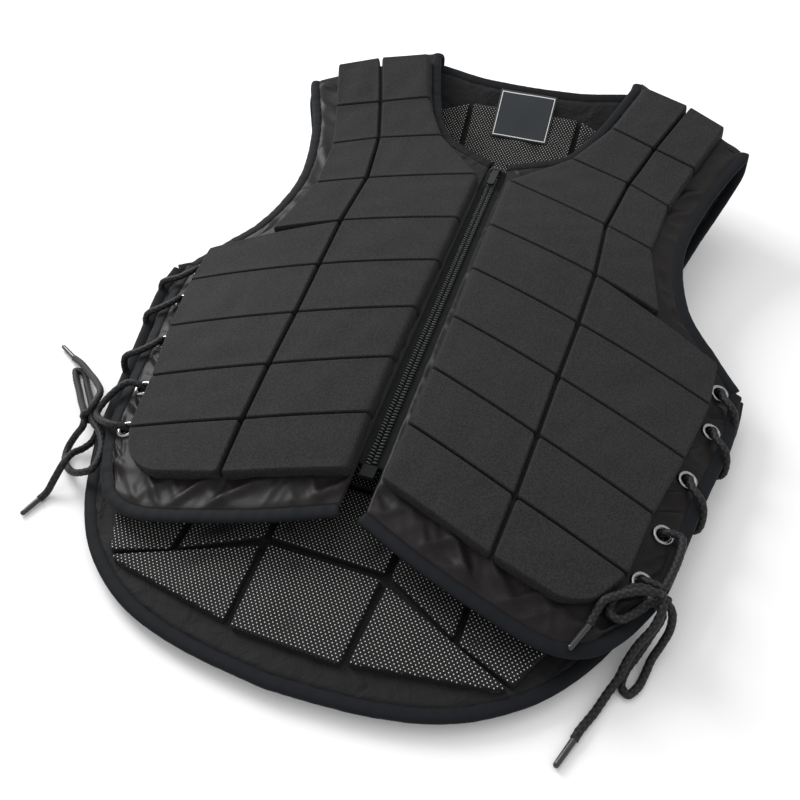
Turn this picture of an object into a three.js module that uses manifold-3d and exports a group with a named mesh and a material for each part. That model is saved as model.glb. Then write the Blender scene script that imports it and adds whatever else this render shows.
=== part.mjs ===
// Equestrian body protector: a padded vest lying on its back, front zipped, sides laced.
// Millimetres, +Z up, Y towards the neck, X towards the wearer's left.
import * as THREE from 'three';
import Module from 'manifold-3d';
import { mergeVertices } from 'three/addons/utils/BufferGeometryUtils.js';

const wasm = await Module();
wasm.setup();

// Overall sizes of the vest as it lies.
const BODY_LENGTH = 636;
const HALF_CHEST = 210;
const FRONT_RISE = 114;
const BACK_RISE = 79;
const FRONT_SHIFT = 11;

// Thicknesses, from the outside in.
const PAD_HEIGHT = 8.7;
const PAD_WEB = 1.2;
const PAD_BEVEL = 2.6;
const CHANNEL = 4;
const COVER = 2.4;
const BACK_PANEL = 3.6;
const BACK_PAD_HEIGHT = 6;
const LINING_PAD_HEIGHT = 3.4;
const GAP = 0.3;
const SEWN_GAP = 0.8;
const BACK_SEAM = 1.5;
const LINING_SEAM = 1.6;

// Edge tape.
const TAPE_WIDTH = 7;
const TAPE_THICKNESS = 4.6;
const SHOULDER_WALL = 3;

// Centre-front zip.
const ZIP_BOTTOM = 137;
const ZIP_TOP = 491;
const CHAIN_WIDTH = 6;
const CHAIN_THICKNESS = 2.4;
const ZIP_TAPE_THICKNESS = 1.2;
const ZIP_OPENING = 9;
const SLIDER_LENGTH = 13;
const SLIDER_WIDTH = 9.6;
const SLIDER_PLATE = 1.5;
const CHEEK_THICKNESS = 1.3;
const PULL_WIDTH = 6.2;
const PULL_LENGTH = 24;
const PULL_THICKNESS = 1.6;
const PIN_RADIUS = 0.8;
const BOX_LENGTH = 9;
const BOX_WIDTH = 10;

// Label, eyelets and laces.
const LABEL_WIDTH = 50;
const LABEL_HEIGHT = 45;
const LABEL_THICKNESS = 0.8;
const EYELET_RADIUS = 7.2;
const EYELET_BARREL = 4.9;
const EYELET_BORE = 4.3;
const EYELET_FLANGE = 1.1;
const EYELET_SIDES = 8;
const LACE_DIAMETER = 5.2;
const LACE_SIDES = 8;
const AGLET_DIAMETER = 3.6;
const KNOT_RADIUS = 5.5;
const KNUCKLE_RADIUS = 1.8;

const colours = {
  cover: [0x232325, 0.9, 0],
  satin: [0x1c1b1c, 0.55, 0],
  tape: [0x20242b, 0.7, 0],
  mesh: [0x151515, 0.85, 0],
  zip: [0x2c302e, 0.5, 0],
  metal: [0xc9cbcc, 0.25, 1],
  dark: [0x2a2c2d, 0.4, 0.6],
  lace: [0x1f1f20, 0.85, 0],
  label: [0x46484a, 0.7, 0],
  plastic: [0x1a1a1b, 0.35, 0],
};

// Heights of the front, as shares of FRONT_RISE, against shares of BODY_LENGTH from the tail.
const frontProfile = [
  { along: 0.100, centre: 0.420, side: 0.250 },
  { along: 0.162, centre: 0.465, side: 0.268 },
  { along: 0.319, centre: 0.544, side: 0.333 },
  { along: 0.476, centre: 0.596, side: 0.372 },
  { along: 0.634, centre: 0.649, side: 0.526 },
  { along: 0.791, centre: 0.702, side: 0.702 },
  { along: 0.885, centre: 0.807, side: 0.877 },
  { along: 0.980, centre: 0.965, side: 1.053 },
  { along: 1.042, centre: 1.070, side: 1.158 },
];

// Height of the upper back above the floor of the vest, as shares of BACK_RISE.
const backProfile = [
  { along: 0.000, rise: 0 },
  { along: 0.720, rise: 0 },
  { along: 0.820, rise: 0.080 },
  { along: 0.869, rise: 0.230 },
  { along: 0.921, rise: 0.510 },
  { along: 0.972, rise: 0.910 },
  { along: 1.030, rise: 1.300 },
];

// Seams across the front pads, as shares of HALF_CHEST and BODY_LENGTH.
const frontSeams = [
  { inner: [0.524, 0.972], middle: [0.729, 0.943], outer: [0.900, 0.909] },
  { inner: [0.433, 0.885], middle: [0.629, 0.855], outer: [0.814, 0.829] },
  { inner: [0.300, 0.811], middle: [0.557, 0.778], outer: [0.738, 0.747] },
  { inner: [0.071, 0.736], middle: [0.510, 0.682], outer: [0.705, 0.657] },
  { inner: [0.071, 0.632], middle: [0.514, 0.586], outer: [0.776, 0.555] },
  { inner: [0.071, 0.632], middle: [0.514, 0.586], outer: [1.005, 0.513] },
  { inner: [0.071, 0.542], middle: [0.500, 0.497], outer: [0.995, 0.448] },
  { inner: [0.076, 0.453], middle: [0.481, 0.406], outer: [0.933, 0.357] },
  { inner: [0.076, 0.368], middle: [0.467, 0.319], outer: [0.862, 0.275] },
  { inner: [0.071, 0.286], middle: [0.452, 0.239], outer: [0.819, 0.200] },
  { inner: [0.062, 0.212], middle: [0.433, 0.168], outer: [0.714, 0.146] },
];
const frontRows = [[10, 9], [9, 8], [8, 7], [7, 6], [6, 5], [4, 3], [3, 2], [2, 1], [1, 0]];

// Seams across the lining pads and the pads under the back, from the tail to the neck.
const backSeams = [
  { inner: [0.181, 0.037], middle: [0.405, 0.044], outer: [0.610, 0.066] },
  { inner: [0.200, 0.140], middle: [0.457, 0.094], outer: [0.640, 0.070] },
  { inner: [0.210, 0.232], middle: [0.457, 0.200], outer: [0.800, 0.170] },
  { inner: [0.220, 0.330], middle: [0.467, 0.300], outer: [0.850, 0.265] },
  { inner: [0.230, 0.425], middle: [0.476, 0.395], outer: [0.900, 0.355] },
  { inner: [0.240, 0.520], middle: [0.486, 0.490], outer: [0.880, 0.440] },
  { inner: [0.245, 0.612], middle: [0.490, 0.585], outer: [0.700, 0.555] },
  { inner: [0.250, 0.705], middle: [0.495, 0.680], outer: [0.680, 0.655] },
  { inner: [0.255, 0.800], middle: [0.500, 0.780], outer: [0.740, 0.745] },
  { inner: [0.265, 0.955], middle: [0.430, 0.940], outer: [0.780, 0.840] },
];

// Edges of the front cover inside its tape: hem, side, armhole, and zip side with neckline.
const hemEdge = [[0.043, 0.176], [0.248, 0.149], [0.457, 0.129], [0.640, 0.117], [0.752, 0.127], [0.829, 0.156]];
const sideEdge = [[0.829, 0.156], [0.905, 0.205], [0.948, 0.266], [1.000, 0.343], [1.062, 0.423], [1.076, 0.492]];
const armEdge = [[1.076, 0.492], [0.990, 0.523], [0.850, 0.583], [0.796, 0.679], [0.867, 0.791], [0.976, 0.874]];
const zipEdge = [[0.043, 0.176], [0.043, 0.776]];
const neckEdge = [[0.043, 0.776], [0.133, 0.790], [0.300, 0.822], [0.405, 0.888], [0.500, 0.979]];

// Edges of the back panel inside its tape.
const tailEdge = [[0.000, 0.013], [0.280, 0.021], [0.500, 0.040], [0.680, 0.078], [0.800, 0.125], [0.880, 0.174]];
const backSideEdge = [[0.880, 0.174], [0.938, 0.220], [0.990, 0.285], [1.048, 0.362], [1.105, 0.440], [1.119, 0.492]];
const backArmEdge = [[1.119, 0.492], [1.010, 0.545], [0.862, 0.610], [0.806, 0.690], [0.867, 0.785], [0.981, 0.870]];
const backNeckEdge = [[0.000, 0.972], [0.238, 0.974], [0.405, 0.980], [0.490, 0.983]];
const shoulderEdge = [[0.490, 0.983], [0.981, 0.870]];

// Centres of the eyelets along the side of the front, as shares of the same sizes.
const frontEyelets = [[1.031, 0.484], [1.017, 0.423], [0.957, 0.343], [0.905, 0.266], [0.864, 0.206]];
const EYELET_STEP_DOWN = 24;
const BACK_EYELET_INSET = 11;

const clamp = THREE.MathUtils.clamp;
const lerp = THREE.MathUtils.lerp;
const point = (share, side = 1) => new THREE.Vector2(side * share[0] * HALF_CHEST, share[1] * BODY_LENGTH);

// Reads a column of a table at a share, joined by a smooth curve.
function read(table, column, along) {
  const last = table.length - 1;
  const t = clamp(along, table[0].along, table[last].along);
  const i = clamp(table.findIndex((row) => row.along >= t) - 1, 0, last - 1);
  const slope = (k) => {
    const before = table[Math.max(k - 1, 0)];
    const after = table[Math.min(k + 1, last)];
    const level = (after[column] - table[k][column]) * (table[k][column] - before[column]) === 0;
    return level && k > 0 && k < last ? 0 : (after[column] - before[column]) / (after.along - before.along);
  };
  const width = table[i + 1].along - table[i].along;
  const s = (t - table[i].along) / width;
  const a = table[i][column];
  const b = table[i + 1][column];
  const rise = b - a;
  const m0 = slope(i) * width;
  const m1 = slope(i + 1) * width;
  return a + s * (m0 + s * (3 * rise - 2 * m0 - m1 + s * (m0 + m1 - 2 * rise)));
}

// Middle of the front cover at a plan position, before the front's sideways shift.
const FRONT_STACK = PAD_HEIGHT + SEWN_GAP + COVER / 2;
function frontHeight(x, y) {
  const along = y / BODY_LENGTH;
  const bulge = Math.min((x / HALF_CHEST) ** 2, 1.3);
  return FRONT_RISE * lerp(read(frontProfile, 'centre', along), read(frontProfile, 'side', along), bulge)
    - FRONT_STACK;
}

// Middle of the back panel: flat, curled up at the laced sides and rising to the neck.
const BACK_STACK = BACK_PAD_HEIGHT + BACK_SEAM + BACK_PANEL / 2;
const CURL_START = 0.86 * HALF_CHEST;
const CURL_HEIGHT = 11;
const SHOULDER_SLOPE = 0.52;
function backHeight(x, y) {
  const across = Math.abs(x);
  const along = (y + SHOULDER_SLOPE * Math.max(0, across - HALF_CHEST * 0.48)) / BODY_LENGTH;
  const curl = Math.max(0, across - CURL_START) / (HALF_CHEST * 1.12 - CURL_START);
  const laced = 1 - THREE.MathUtils.smoothstep(y / BODY_LENGTH, 0.5, 0.7);
  return BACK_STACK + BACK_RISE * read(backProfile, 'rise', along) + CURL_HEIGHT * laced * curl ** 2;
}

// A point at an offset along the normal of a height surface.
function onSurface(height, x, y, offset) {
  const d = 1;
  const slopeX = (height(x + d, y) - height(x - d, y)) / (2 * d);
  const slopeY = (height(x, y + d) - height(x, y - d)) / (2 * d);
  const normal = new THREE.Vector3(-slopeX, -slopeY, 1).normalize();
  return new THREE.Vector3(x, y, height(x, y)).addScaledVector(normal, offset);
}
function shiftAt(y) {
  return FRONT_SHIFT * clamp((0.854 - y / BODY_LENGTH) / 0.692, 0, 1);
}
function frontPoint(x, y, offset = 0) {
  const p = onSurface(frontHeight, x, y, offset);
  p.x += shiftAt(y);
  return p;
}
function backPoint(x, y, offset = 0) {
  return onSurface(backHeight, x, y, offset);
}

// Group, materials and meshes.
const vest = new THREE.Group();
const cords = new THREE.Group();
function addMesh(name, geometry, colour, parent = vest) {
  const [tint, roughness, metalness] = colours[colour];
  const material = new THREE.MeshStandardMaterial({ color: tint, roughness, metalness });
  const mesh = new THREE.Mesh(geometry, material);
  mesh.name = name;
  parent.add(mesh);
  return mesh;
}

function closedGeometry(positions, faces) {
  const geometry = new THREE.BufferGeometry();
  geometry.setAttribute('position', new THREE.Float32BufferAttribute(positions.flatMap((p) => [p.x, p.y, p.z]), 3));
  geometry.setIndex(faces.flat());
  if (volumeOf(geometry) < 0) {
    geometry.setIndex(faces.flatMap(([a, b, c]) => [a, c, b]));
  }
  return geometry;
}
function volumeOf(geometry) {
  const p = geometry.getAttribute('position');
  const index = geometry.getIndex();
  const [a, b, c] = [new THREE.Vector3(), new THREE.Vector3(), new THREE.Vector3()];
  let total = 0;
  for (let i = 0; i < index.count; i += 3) {
    a.fromBufferAttribute(p, index.getX(i));
    b.fromBufferAttribute(p, index.getX(i + 1));
    c.fromBufferAttribute(p, index.getX(i + 2));
    total += a.dot(b.cross(c)) / 6;
  }
  return total;
}

// A closed wall between two grids of points. The bottom uses only the lines that are named.
function wallBetween(top, bottom, rowLines = null, columnLines = null) {
  const rows = top.length;
  const columns = top[0].length;
  const keepRows = rowLines ?? [...Array(rows).keys()];
  const keepColumns = columnLines ?? [...Array(columns).keys()];
  const points = [];
  const faces = [];
  const add = (p) => points.push(p) - 1;
  const topIndex = top.map((row) => row.map(add));
  const bottomIndex = new Map();
  keepRows.forEach((i) => keepColumns.forEach((j) => bottomIndex.set(`${i},${j}`, add(bottom[i][j]))));
  const low = (i, j) => bottomIndex.get(`${i},${j}`);
  for (let i = 0; i + 1 < rows; i += 1) {
    for (let j = 0; j + 1 < columns; j += 1) {
      faces.push([topIndex[i][j], topIndex[i][j + 1], topIndex[i + 1][j + 1]]);
      faces.push([topIndex[i][j], topIndex[i + 1][j + 1], topIndex[i + 1][j]]);
    }
  }
  for (let r = 0; r + 1 < keepRows.length; r += 1) {
    for (let c = 0; c + 1 < keepColumns.length; c += 1) {
      const [i, k] = [keepRows[r], keepRows[r + 1]];
      const [j, l] = [keepColumns[c], keepColumns[c + 1]];
      faces.push([low(i, j), low(k, l), low(i, l)]);
      faces.push([low(i, j), low(k, j), low(k, l)]);
    }
  }
  const side = (lines, topAt, lowAt, flip) => {
    for (let s = 0; s + 1 < lines.length; s += 1) {
      for (let t = lines[s]; t < lines[s + 1]; t += 1) {
        faces.push(flip ? [lowAt(lines[s]), topAt(t), topAt(t + 1)] : [lowAt(lines[s]), topAt(t + 1), topAt(t)]);
      }
      const last = lines[s + 1];
      faces.push(flip ? [lowAt(lines[s]), topAt(last), lowAt(last)] : [lowAt(lines[s]), lowAt(last), topAt(last)]);
    }
  };
  side(keepColumns, (j) => topIndex[0][j], (j) => low(0, j), false);
  side(keepColumns, (j) => topIndex[rows - 1][j], (j) => low(rows - 1, j), true);
  side(keepRows, (i) => topIndex[i][0], (i) => low(i, 0), true);
  side(keepRows, (i) => topIndex[i][columns - 1], (i) => low(i, columns - 1), false);
  return closedGeometry(points, faces);
}

// A curve through edge points, sampled evenly.
function smoothEdge(edge, steps, side = 1) {
  const path = edge.map((share) => point(share, side));
  const curve = path.length > 2 ? new THREE.SplineCurve(path) : new THREE.LineCurve(path[0], path[1]);
  return curve.getSpacedPoints(steps);
}
function joinEdges(first, second) {
  return [...first, ...second.slice(1)];
}

// Fills a four-sided patch from its edges (blend of opposite edges less the corners).
function patch(low, high, left, right) {
  const rows = left.length - 1;
  const columns = low.length - 1;
  return [...Array(rows + 1).keys()].map((i) => [...Array(columns + 1).keys()].map((j) => {
    const v = i / rows;
    const u = j / columns;
    const across = low[j].clone().multiplyScalar(1 - v).addScaledVector(high[j], v);
    const along = left[i].clone().multiplyScalar(1 - u).addScaledVector(right[i], u);
    const corners = low[0].clone().multiplyScalar((1 - u) * (1 - v)).addScaledVector(low[columns], u * (1 - v))
      .addScaledVector(high[0], (1 - u) * v).addScaledVector(high[columns], u * v);
    return across.add(along).sub(corners);
  }));
}

// Joins and cuts on closed meshes.
function toSolid(geometry) {
  const bare = geometry.clone();
  bare.deleteAttribute('normal');
  bare.deleteAttribute('uv');
  const merged = mergeVertices(bare, 1e-3);
  return new wasm.Manifold(new wasm.Mesh({
    numProp: 3,
    vertProperties: new Float32Array(merged.getAttribute('position').array),
    triVerts: new Uint32Array(merged.getIndex().array),
  }));
}
function toGeometry(solid) {
  const mesh = solid.getMesh();
  const geometry = new THREE.BufferGeometry();
  geometry.setAttribute('position', new THREE.Float32BufferAttribute(mesh.vertProperties, 3));
  geometry.setIndex(Array.from(mesh.triVerts));
  return geometry;
}
function join(geometries) {
  return toGeometry(geometries.map(toSolid).reduce((sum, solid) => sum.add(solid)));
}
function cut(geometry, tools) {
  return toGeometry(tools.map(toSolid).reduce((rest, tool) => rest.subtract(tool), toSolid(geometry)));
}

// Front cover of one side, with a hole for each eyelet.
const SIDE_STEPS = 7;
const ARM_STEPS = 8;
const ZIP_EDGE_STEPS = 8;
const NECK_STEPS = SIDE_STEPS + ARM_STEPS - ZIP_EDGE_STEPS;
const COVER_COLUMNS = 6;
function frontEdges(side) {
  const hem = smoothEdge(hemEdge, COVER_COLUMNS, side);
  const lacedSide = smoothEdge(sideEdge, SIDE_STEPS, side);
  const arm = smoothEdge(armEdge, ARM_STEPS, side);
  const zip = smoothEdge(zipEdge, ZIP_EDGE_STEPS, side);
  const neckline = smoothEdge(neckEdge, NECK_STEPS, side);
  return { hem, lacedSide, arm, zip, neckline };
}
function frontCoverGrid(side) {
  const edges = frontEdges(side);
  const inner = joinEdges(edges.zip, edges.neckline);
  const outer = joinEdges(edges.lacedSide, edges.arm);
  const [first, last] = [inner.at(-1), outer.at(-1)];
  const top = edges.hem.map((p, j) => first.clone().lerp(last, j / COVER_COLUMNS));
  return patch(edges.hem, top, inner, outer);
}
function eyeletPlace(side, share) {
  const at = point(share, side);
  const centre = frontPoint(at.x, at.y, 0);
  const normal = frontPoint(at.x, at.y, 1).sub(centre);
  return { centre, normal };
}
function backEyeletPlace(side, share) {
  const y = share[1] * BODY_LENGTH - EYELET_STEP_DOWN;
  const edge = smoothEdge(backSideEdge, 40, side).reduce((best, p) => (
    Math.abs(p.y - y) < Math.abs(best.y - y) ? p : best));
  const x = edge.x - side * BACK_EYELET_INSET;
  const centre = backPoint(x, y, 0);
  const normal = backPoint(x, y, 1).sub(centre);
  return { centre, normal };
}
function turned(geometry, place) {
  const turn = new THREE.Quaternion().setFromUnitVectors(new THREE.Vector3(0, 1, 0), place.normal);
  return geometry.applyQuaternion(turn).translate(place.centre.x, place.centre.y, place.centre.z);
}
function eyeletHole(place) {
  return turned(new THREE.CylinderGeometry(EYELET_BARREL + GAP, EYELET_BARREL + GAP, 30, EYELET_SIDES), place);
}
function eyelet(place, wall) {
  const half = wall / 2;
  const seat = half + SEWN_GAP;
  const profile = [
    [EYELET_BORE, -half], [EYELET_BARREL, -half], [EYELET_BARREL, seat], [EYELET_RADIUS, seat],
    [EYELET_RADIUS - 0.9, seat + EYELET_FLANGE], [EYELET_BORE, seat + EYELET_FLANGE], [EYELET_BORE, -half],
  ].map(([r, h]) => new THREE.Vector2(r, h));
  return turned(new THREE.LatheGeometry(profile, EYELET_SIDES), place);
}
function flatWall(grid, surface, thickness) {
  const top = grid.map((row) => row.map((p) => surface(p.x, p.y, thickness / 2)));
  const bottom = grid.map((row) => row.map((p) => surface(p.x, p.y, -thickness / 2)));
  return wallBetween(top, bottom);
}

// Pads of one column: each row is a bevelled block on a thin web.
function padColumn(seams, rows, near, far, side, surface, base, height) {
  const edge = (p, q, inset) => inset / p.distanceTo(q);
  const lines = [];
  const plan = [];
  rows.forEach(([lowSeam, highSeam]) => {
    const [a, b] = [point(seams[lowSeam][near], side), point(seams[lowSeam][far], side)];
    const [d, c] = [point(seams[highSeam][near], side), point(seams[highSeam][far], side)];
    const across = (edge(a, b, 1) + edge(d, c, 1)) / 2;
    const along = (edge(a, d, 1) + edge(b, c, 1)) / 2;
    const foot = CHANNEL / 2;
    const crown = foot + PAD_BEVEL;
    const us = [foot * across, crown * across, 0.5, 1 - crown * across, 1 - foot * across];
    const vs = [foot * along, crown * along, 1 - crown * along, 1 - foot * along];
    vs.forEach((v, n) => {
      plan.push(us.map((u) => a.clone().lerp(b, u).lerp(d.clone().lerp(c, u), v)));
      lines.push(n === 1 || n === 2);
    });
  });
  const sign = Math.sign(height);
  const level = (i, j) => (lines[i] && j > 0 && j < 4 ? height : sign * PAD_WEB);
  const top = plan.map((row, i) => row.map((p, j) => surface(p.x, p.y, base + level(i, j))));
  const bottom = plan.map((row) => row.map((p) => surface(p.x, p.y, base)));
  const keep = plan.map((row, i) => i).filter((i) => i % 4 === 0 || i === plan.length - 1);
  return wallBetween(top, bottom, keep, [0, 2, 4]);
}

// A tape along an edge: a low crowned band that stands off the edge by the gap.
function edgeTape(path, outward, width = TAPE_WIDTH, thickness = TAPE_THICKNESS) {
  const top = [];
  const bottom = [];
  path.forEach((p, k) => {
    const before = path[Math.max(k - 1, 0)];
    const after = path[Math.min(k + 1, path.length - 1)];
    const tangent = after.clone().sub(before).normalize();
    const out = outward[k].clone().addScaledVector(tangent, -outward[k].dot(tangent)).normalize();
    const up = new THREE.Vector3().crossVectors(tangent, out).normalize();
    const at = (w, h) => p.clone().addScaledVector(out, GAP + w).addScaledVector(up, h);
    const half = thickness / 2;
    top.push([at(0, half), at(width, half * 0.5)]);
    bottom.push([at(0, -half), at(width, -half * 0.5)]);
  });
  return wallBetween(top, bottom);
}

// Path of plan points on a surface, with the outward direction in the surface.
function edgeOn(points, surface, inward) {
  const path = points.map((p) => surface(p.x, p.y, 0));
  const outward = path.map((p, k) => {
    const before = path[Math.max(k - 1, 0)];
    const after = path[Math.min(k + 1, path.length - 1)];
    const tangent = after.clone().sub(before);
    const q = points[k];
    const normal = surface(q.x, q.y, 1).sub(surface(q.x, q.y, 0));
    const out = new THREE.Vector3().crossVectors(tangent, normal).normalize();
    return out.multiplyScalar(inward);
  });
  return { path, outward };
}

// Shoulder: a wall folded from the front's upper edge over to the back's.
const FOLD_STEPS = 8;
const FOLD_REACH = 14;
function foldCurve(from, fromDirection, to, toDirection) {
  return new THREE.CubicBezierCurve3(
    from, from.clone().addScaledVector(fromDirection, FOLD_REACH),
    to.clone().addScaledVector(toDirection, FOLD_REACH), to,
  );
}
function shoulderFold(side, u) {
  const front = point(neckEdge.at(-1), side).lerp(point(armEdge.at(-1), side), u);
  const back = point(shoulderEdge[0], side).lerp(point(shoulderEdge[1], side), u);
  const along = (surface, p) => surface(p.x, p.y, 0).sub(surface(p.x, p.y - 2, 0)).normalize();
  const frontEnd = frontPoint(front.x, front.y);
  const backEnd = backPoint(back.x, back.y);
  const frontWay = along(frontPoint, front);
  const backWay = along(backPoint, back);
  frontEnd.addScaledVector(frontWay, GAP);
  backEnd.addScaledVector(backWay, SEWN_GAP);
  return foldCurve(frontEnd, frontWay, backEnd, backWay);
}
function shoulder(side) {
  const outer = [];
  const inner = [];
  for (let j = 0; j <= COVER_COLUMNS; j += 1) {
    const curve = shoulderFold(side, j / COVER_COLUMNS);
    const columns = [[], []];
    for (let i = 0; i <= FOLD_STEPS; i += 1) {
      const p = curve.getPoint(i / FOLD_STEPS);
      const tangent = curve.getTangent(i / FOLD_STEPS);
      const out = new THREE.Vector3(1, 0, 0).cross(tangent).normalize();
      columns[0].push(p.clone().addScaledVector(out, SHOULDER_WALL / 2));
      columns[1].push(p.clone().addScaledVector(out, -SHOULDER_WALL / 2));
    }
    outer.push(columns[0]);
    inner.push(columns[1]);
  }
  return wallBetween(outer, inner);
}

// The folded side of a shoulder, as a stretch of tape path.
function foldStretch(side, u) {
  const curve = shoulderFold(side, u);
  const inner = [...Array(FOLD_STEPS + 1).keys()].map((i) => curve.getPoint(i / FOLD_STEPS));
  const way = new THREE.Vector3(u === 0 ? -side : side, 0, 0);
  return { path: inner, outward: inner.map(() => way.clone()) };
}
function joinStretches(...stretches) {
  return {
    path: stretches.flatMap((s) => s.path),
    outward: stretches.flatMap((s) => s.outward),
  };
}
function reversed(stretch) {
  return { path: [...stretch.path].reverse(), outward: [...stretch.outward].reverse() };
}

const sides = [['right', -1], ['left', 1]];

sides.forEach(([name, side]) => {
  const places = frontEyelets.map((share) => eyeletPlace(side, share));
  const cover = flatWall(frontCoverGrid(side), frontPoint, COVER);
  addMesh(`${name}_front_cover`, cut(cover, places.map(eyeletHole)), 'satin');
  const padBase = COVER / 2 + SEWN_GAP;
  const padUp = PAD_HEIGHT;
  addMesh(`${name}_front_pads_inner`,
    padColumn(frontSeams, frontRows, 'inner', 'middle', side, frontPoint, padBase, padUp), 'cover');
  addMesh(`${name}_front_pads_outer`,
    padColumn(frontSeams, frontRows, 'middle', 'outer', side, frontPoint, padBase, padUp), 'cover');
  addMesh(`${name}_shoulder`, shoulder(side), 'satin');
  places.forEach((place, k) => addMesh(`${name}_front_eyelet_${k + 1}`, eyelet(place, COVER), 'metal'));
});

// Back panel: one padded sheet from the tail to the shoulders.
const BACK_SIDE_STEPS = 7;
const BACK_ARM_STEPS = 13;
const BACK_HALF_COLUMNS = 7;
const BACK_NECK_STEPS = 3;
function mirrored(points) {
  const other = points.slice(1).reverse().map((p) => new THREE.Vector2(-p.x, p.y));
  return [...other, ...points];
}
function backEdges(side = 1) {
  const tail = smoothEdge(tailEdge, BACK_HALF_COLUMNS, side);
  const lacedSide = smoothEdge(backSideEdge, BACK_SIDE_STEPS, side);
  const arm = smoothEdge(backArmEdge, BACK_ARM_STEPS, side);
  const neckline = smoothEdge(backNeckEdge, BACK_NECK_STEPS, side);
  return { tail, lacedSide, arm, neckline };
}
function backGrid() {
  const edges = backEdges();
  const crest = smoothEdge(shoulderEdge, BACK_HALF_COLUMNS - BACK_NECK_STEPS);
  const high = mirrored(joinEdges(edges.neckline, crest));
  const right = joinEdges(edges.lacedSide, edges.arm);
  const left = right.map((p) => new THREE.Vector2(-p.x, p.y));
  return patch(mirrored(edges.tail), high, left, right);
}
const backPlaces = sides.flatMap(([, side]) => frontEyelets.map((share) => backEyeletPlace(side, share)));
addMesh('back_panel', cut(flatWall(backGrid(), backPoint, BACK_PANEL), backPlaces.map(eyeletHole)), 'mesh');
backPlaces.forEach((place, k) => {
  const name = k < frontEyelets.length ? 'right' : 'left';
  const number = (k % frontEyelets.length) + 1;
  addMesh(`${name}_back_eyelet_${number}`, eyelet(place, BACK_PANEL), 'metal');
});

// Pads on both faces of the back: a middle strip, and one strip on each side.
const liningRows = [[0, 1], [1, 2], [2, 4], [4, 6], [6, 7], [7, 8], [8, 9]];
const underRows = [[0, 2], [2, 4], [4, 6], [6, 8], [8, 9]];
const RISING_SEAM = 6;
function backStrip(rows, columns, base, height) {
  const plan = [];
  const raised = [];
  const isRaised = (n) => n === 1 || n === 2;
  rows.forEach(([lowSeam, highSeam]) => {
    const corners = columns.map(([near, far, side]) => {
      const nearSide = near === 'mirror' ? -side : side;
      const nearKey = near === 'mirror' ? far : near;
      return [
        point(backSeams[lowSeam][nearKey], nearSide), point(backSeams[lowSeam][far], side),
        point(backSeams[highSeam][nearKey], nearSide), point(backSeams[highSeam][far], side),
      ];
    });
    const lines = lowSeam < RISING_SEAM ? ['foot', 'crown', 'farCrown', 'farFoot']
      : ['foot', 'crown', 'quarter', 'half', 'threeQuarters', 'farCrown', 'farFoot'];
    lines.forEach((kind) => {
      const line = [];
      corners.forEach(([a, b, d, c]) => {
        const foot = CHANNEL / 2;
        const crown = foot + PAD_BEVEL;
        const across = 2 / (a.distanceTo(b) + d.distanceTo(c));
        const along = 2 / (a.distanceTo(d) + b.distanceTo(c));
        const v = {
          foot: foot * along, crown: crown * along, quarter: 0.25, half: 0.5, threeQuarters: 0.75,
          farCrown: 1 - crown * along, farFoot: 1 - foot * along,
        }[kind];
        [foot * across, crown * across, 1 - crown * across, 1 - foot * across].forEach((u) => {
          line.push(a.clone().lerp(b, u).lerp(d.clone().lerp(c, u), v));
        });
      });
      plan.push(line);
      raised.push(!kind.toLowerCase().includes('foot'));
    });
  });
  const web = Math.sign(height) * PAD_WEB;
  const top = plan.map((line, i) => line.map((p, j) => (
    backPoint(p.x, p.y, base + (raised[i] && isRaised(j % 4) ? height : web)))));
  const bottom = plan.map((line) => line.map((p) => backPoint(p.x, p.y, base)));
  const width = plan[0].length;
  const keepColumns = [...Array(width).keys()].filter((j) => j % 4 === 0 || j === width - 1);
  return wallBetween(top, bottom, null, keepColumns);
}
const liningBase = BACK_PANEL / 2 + LINING_SEAM;
const underBase = BACK_PANEL / 2 + BACK_SEAM;
const middleColumn = [['mirror', 'inner', 1]];
addMesh('lining_pads_middle', backStrip(liningRows, middleColumn, liningBase, LINING_PAD_HEIGHT), 'mesh');
addMesh('back_pads_middle', backStrip(underRows, middleColumn, -underBase, -BACK_PAD_HEIGHT), 'cover');
sides.forEach(([name, side]) => {
  const columns = [['inner', 'middle', side], ['middle', 'outer', side]];
  addMesh(`${name}_lining_pads`, backStrip(liningRows, columns, liningBase, LINING_PAD_HEIGHT), 'mesh');
  addMesh(`${name}_back_pads`, backStrip(underRows, columns, -underBase, -BACK_PAD_HEIGHT), 'cover');
});

// Tapes along every edge, each following the corners of the wall that it edges.
sides.forEach(([name, side]) => {
  const front = frontEdges(side);
  const back = backEdges(side);
  const arm = edgeOn(front.arm.slice(1), frontPoint, side);
  const backArm = edgeOn(back.arm.slice(1), backPoint, side);
  const armhole = joinStretches(arm, foldStretch(side, 1), reversed(backArm));
  addMesh(`${name}_armhole_tape`, edgeTape(armhole.path, armhole.outward), 'tape');
  const lower = joinEdges(front.hem, front.lacedSide).slice(0, -1);
  const hem = edgeOn(lower, frontPoint, side);
  addMesh(`${name}_front_tape`, edgeTape(hem.path, hem.outward), 'tape');
});
const backLower = backEdges();
const tail = edgeOn(mirrored(joinEdges(backLower.tail, backLower.lacedSide)).slice(1, -1), backPoint, 1);
addMesh('back_tape', edgeTape(tail.path, tail.outward), 'tape');

const neckHalf = (side) => joinStretches(
  edgeOn(frontEdges(side).neckline, frontPoint, -side),
  foldStretch(side, 0),
);
const backNeck = edgeOn(mirrored(backEdges().neckline).reverse(), backPoint, 1);
const neck = joinStretches(neckHalf(1), backNeck, reversed(neckHalf(-1)));
addMesh('neck_tape', edgeTape(neck.path, neck.outward), 'tape');

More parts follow.
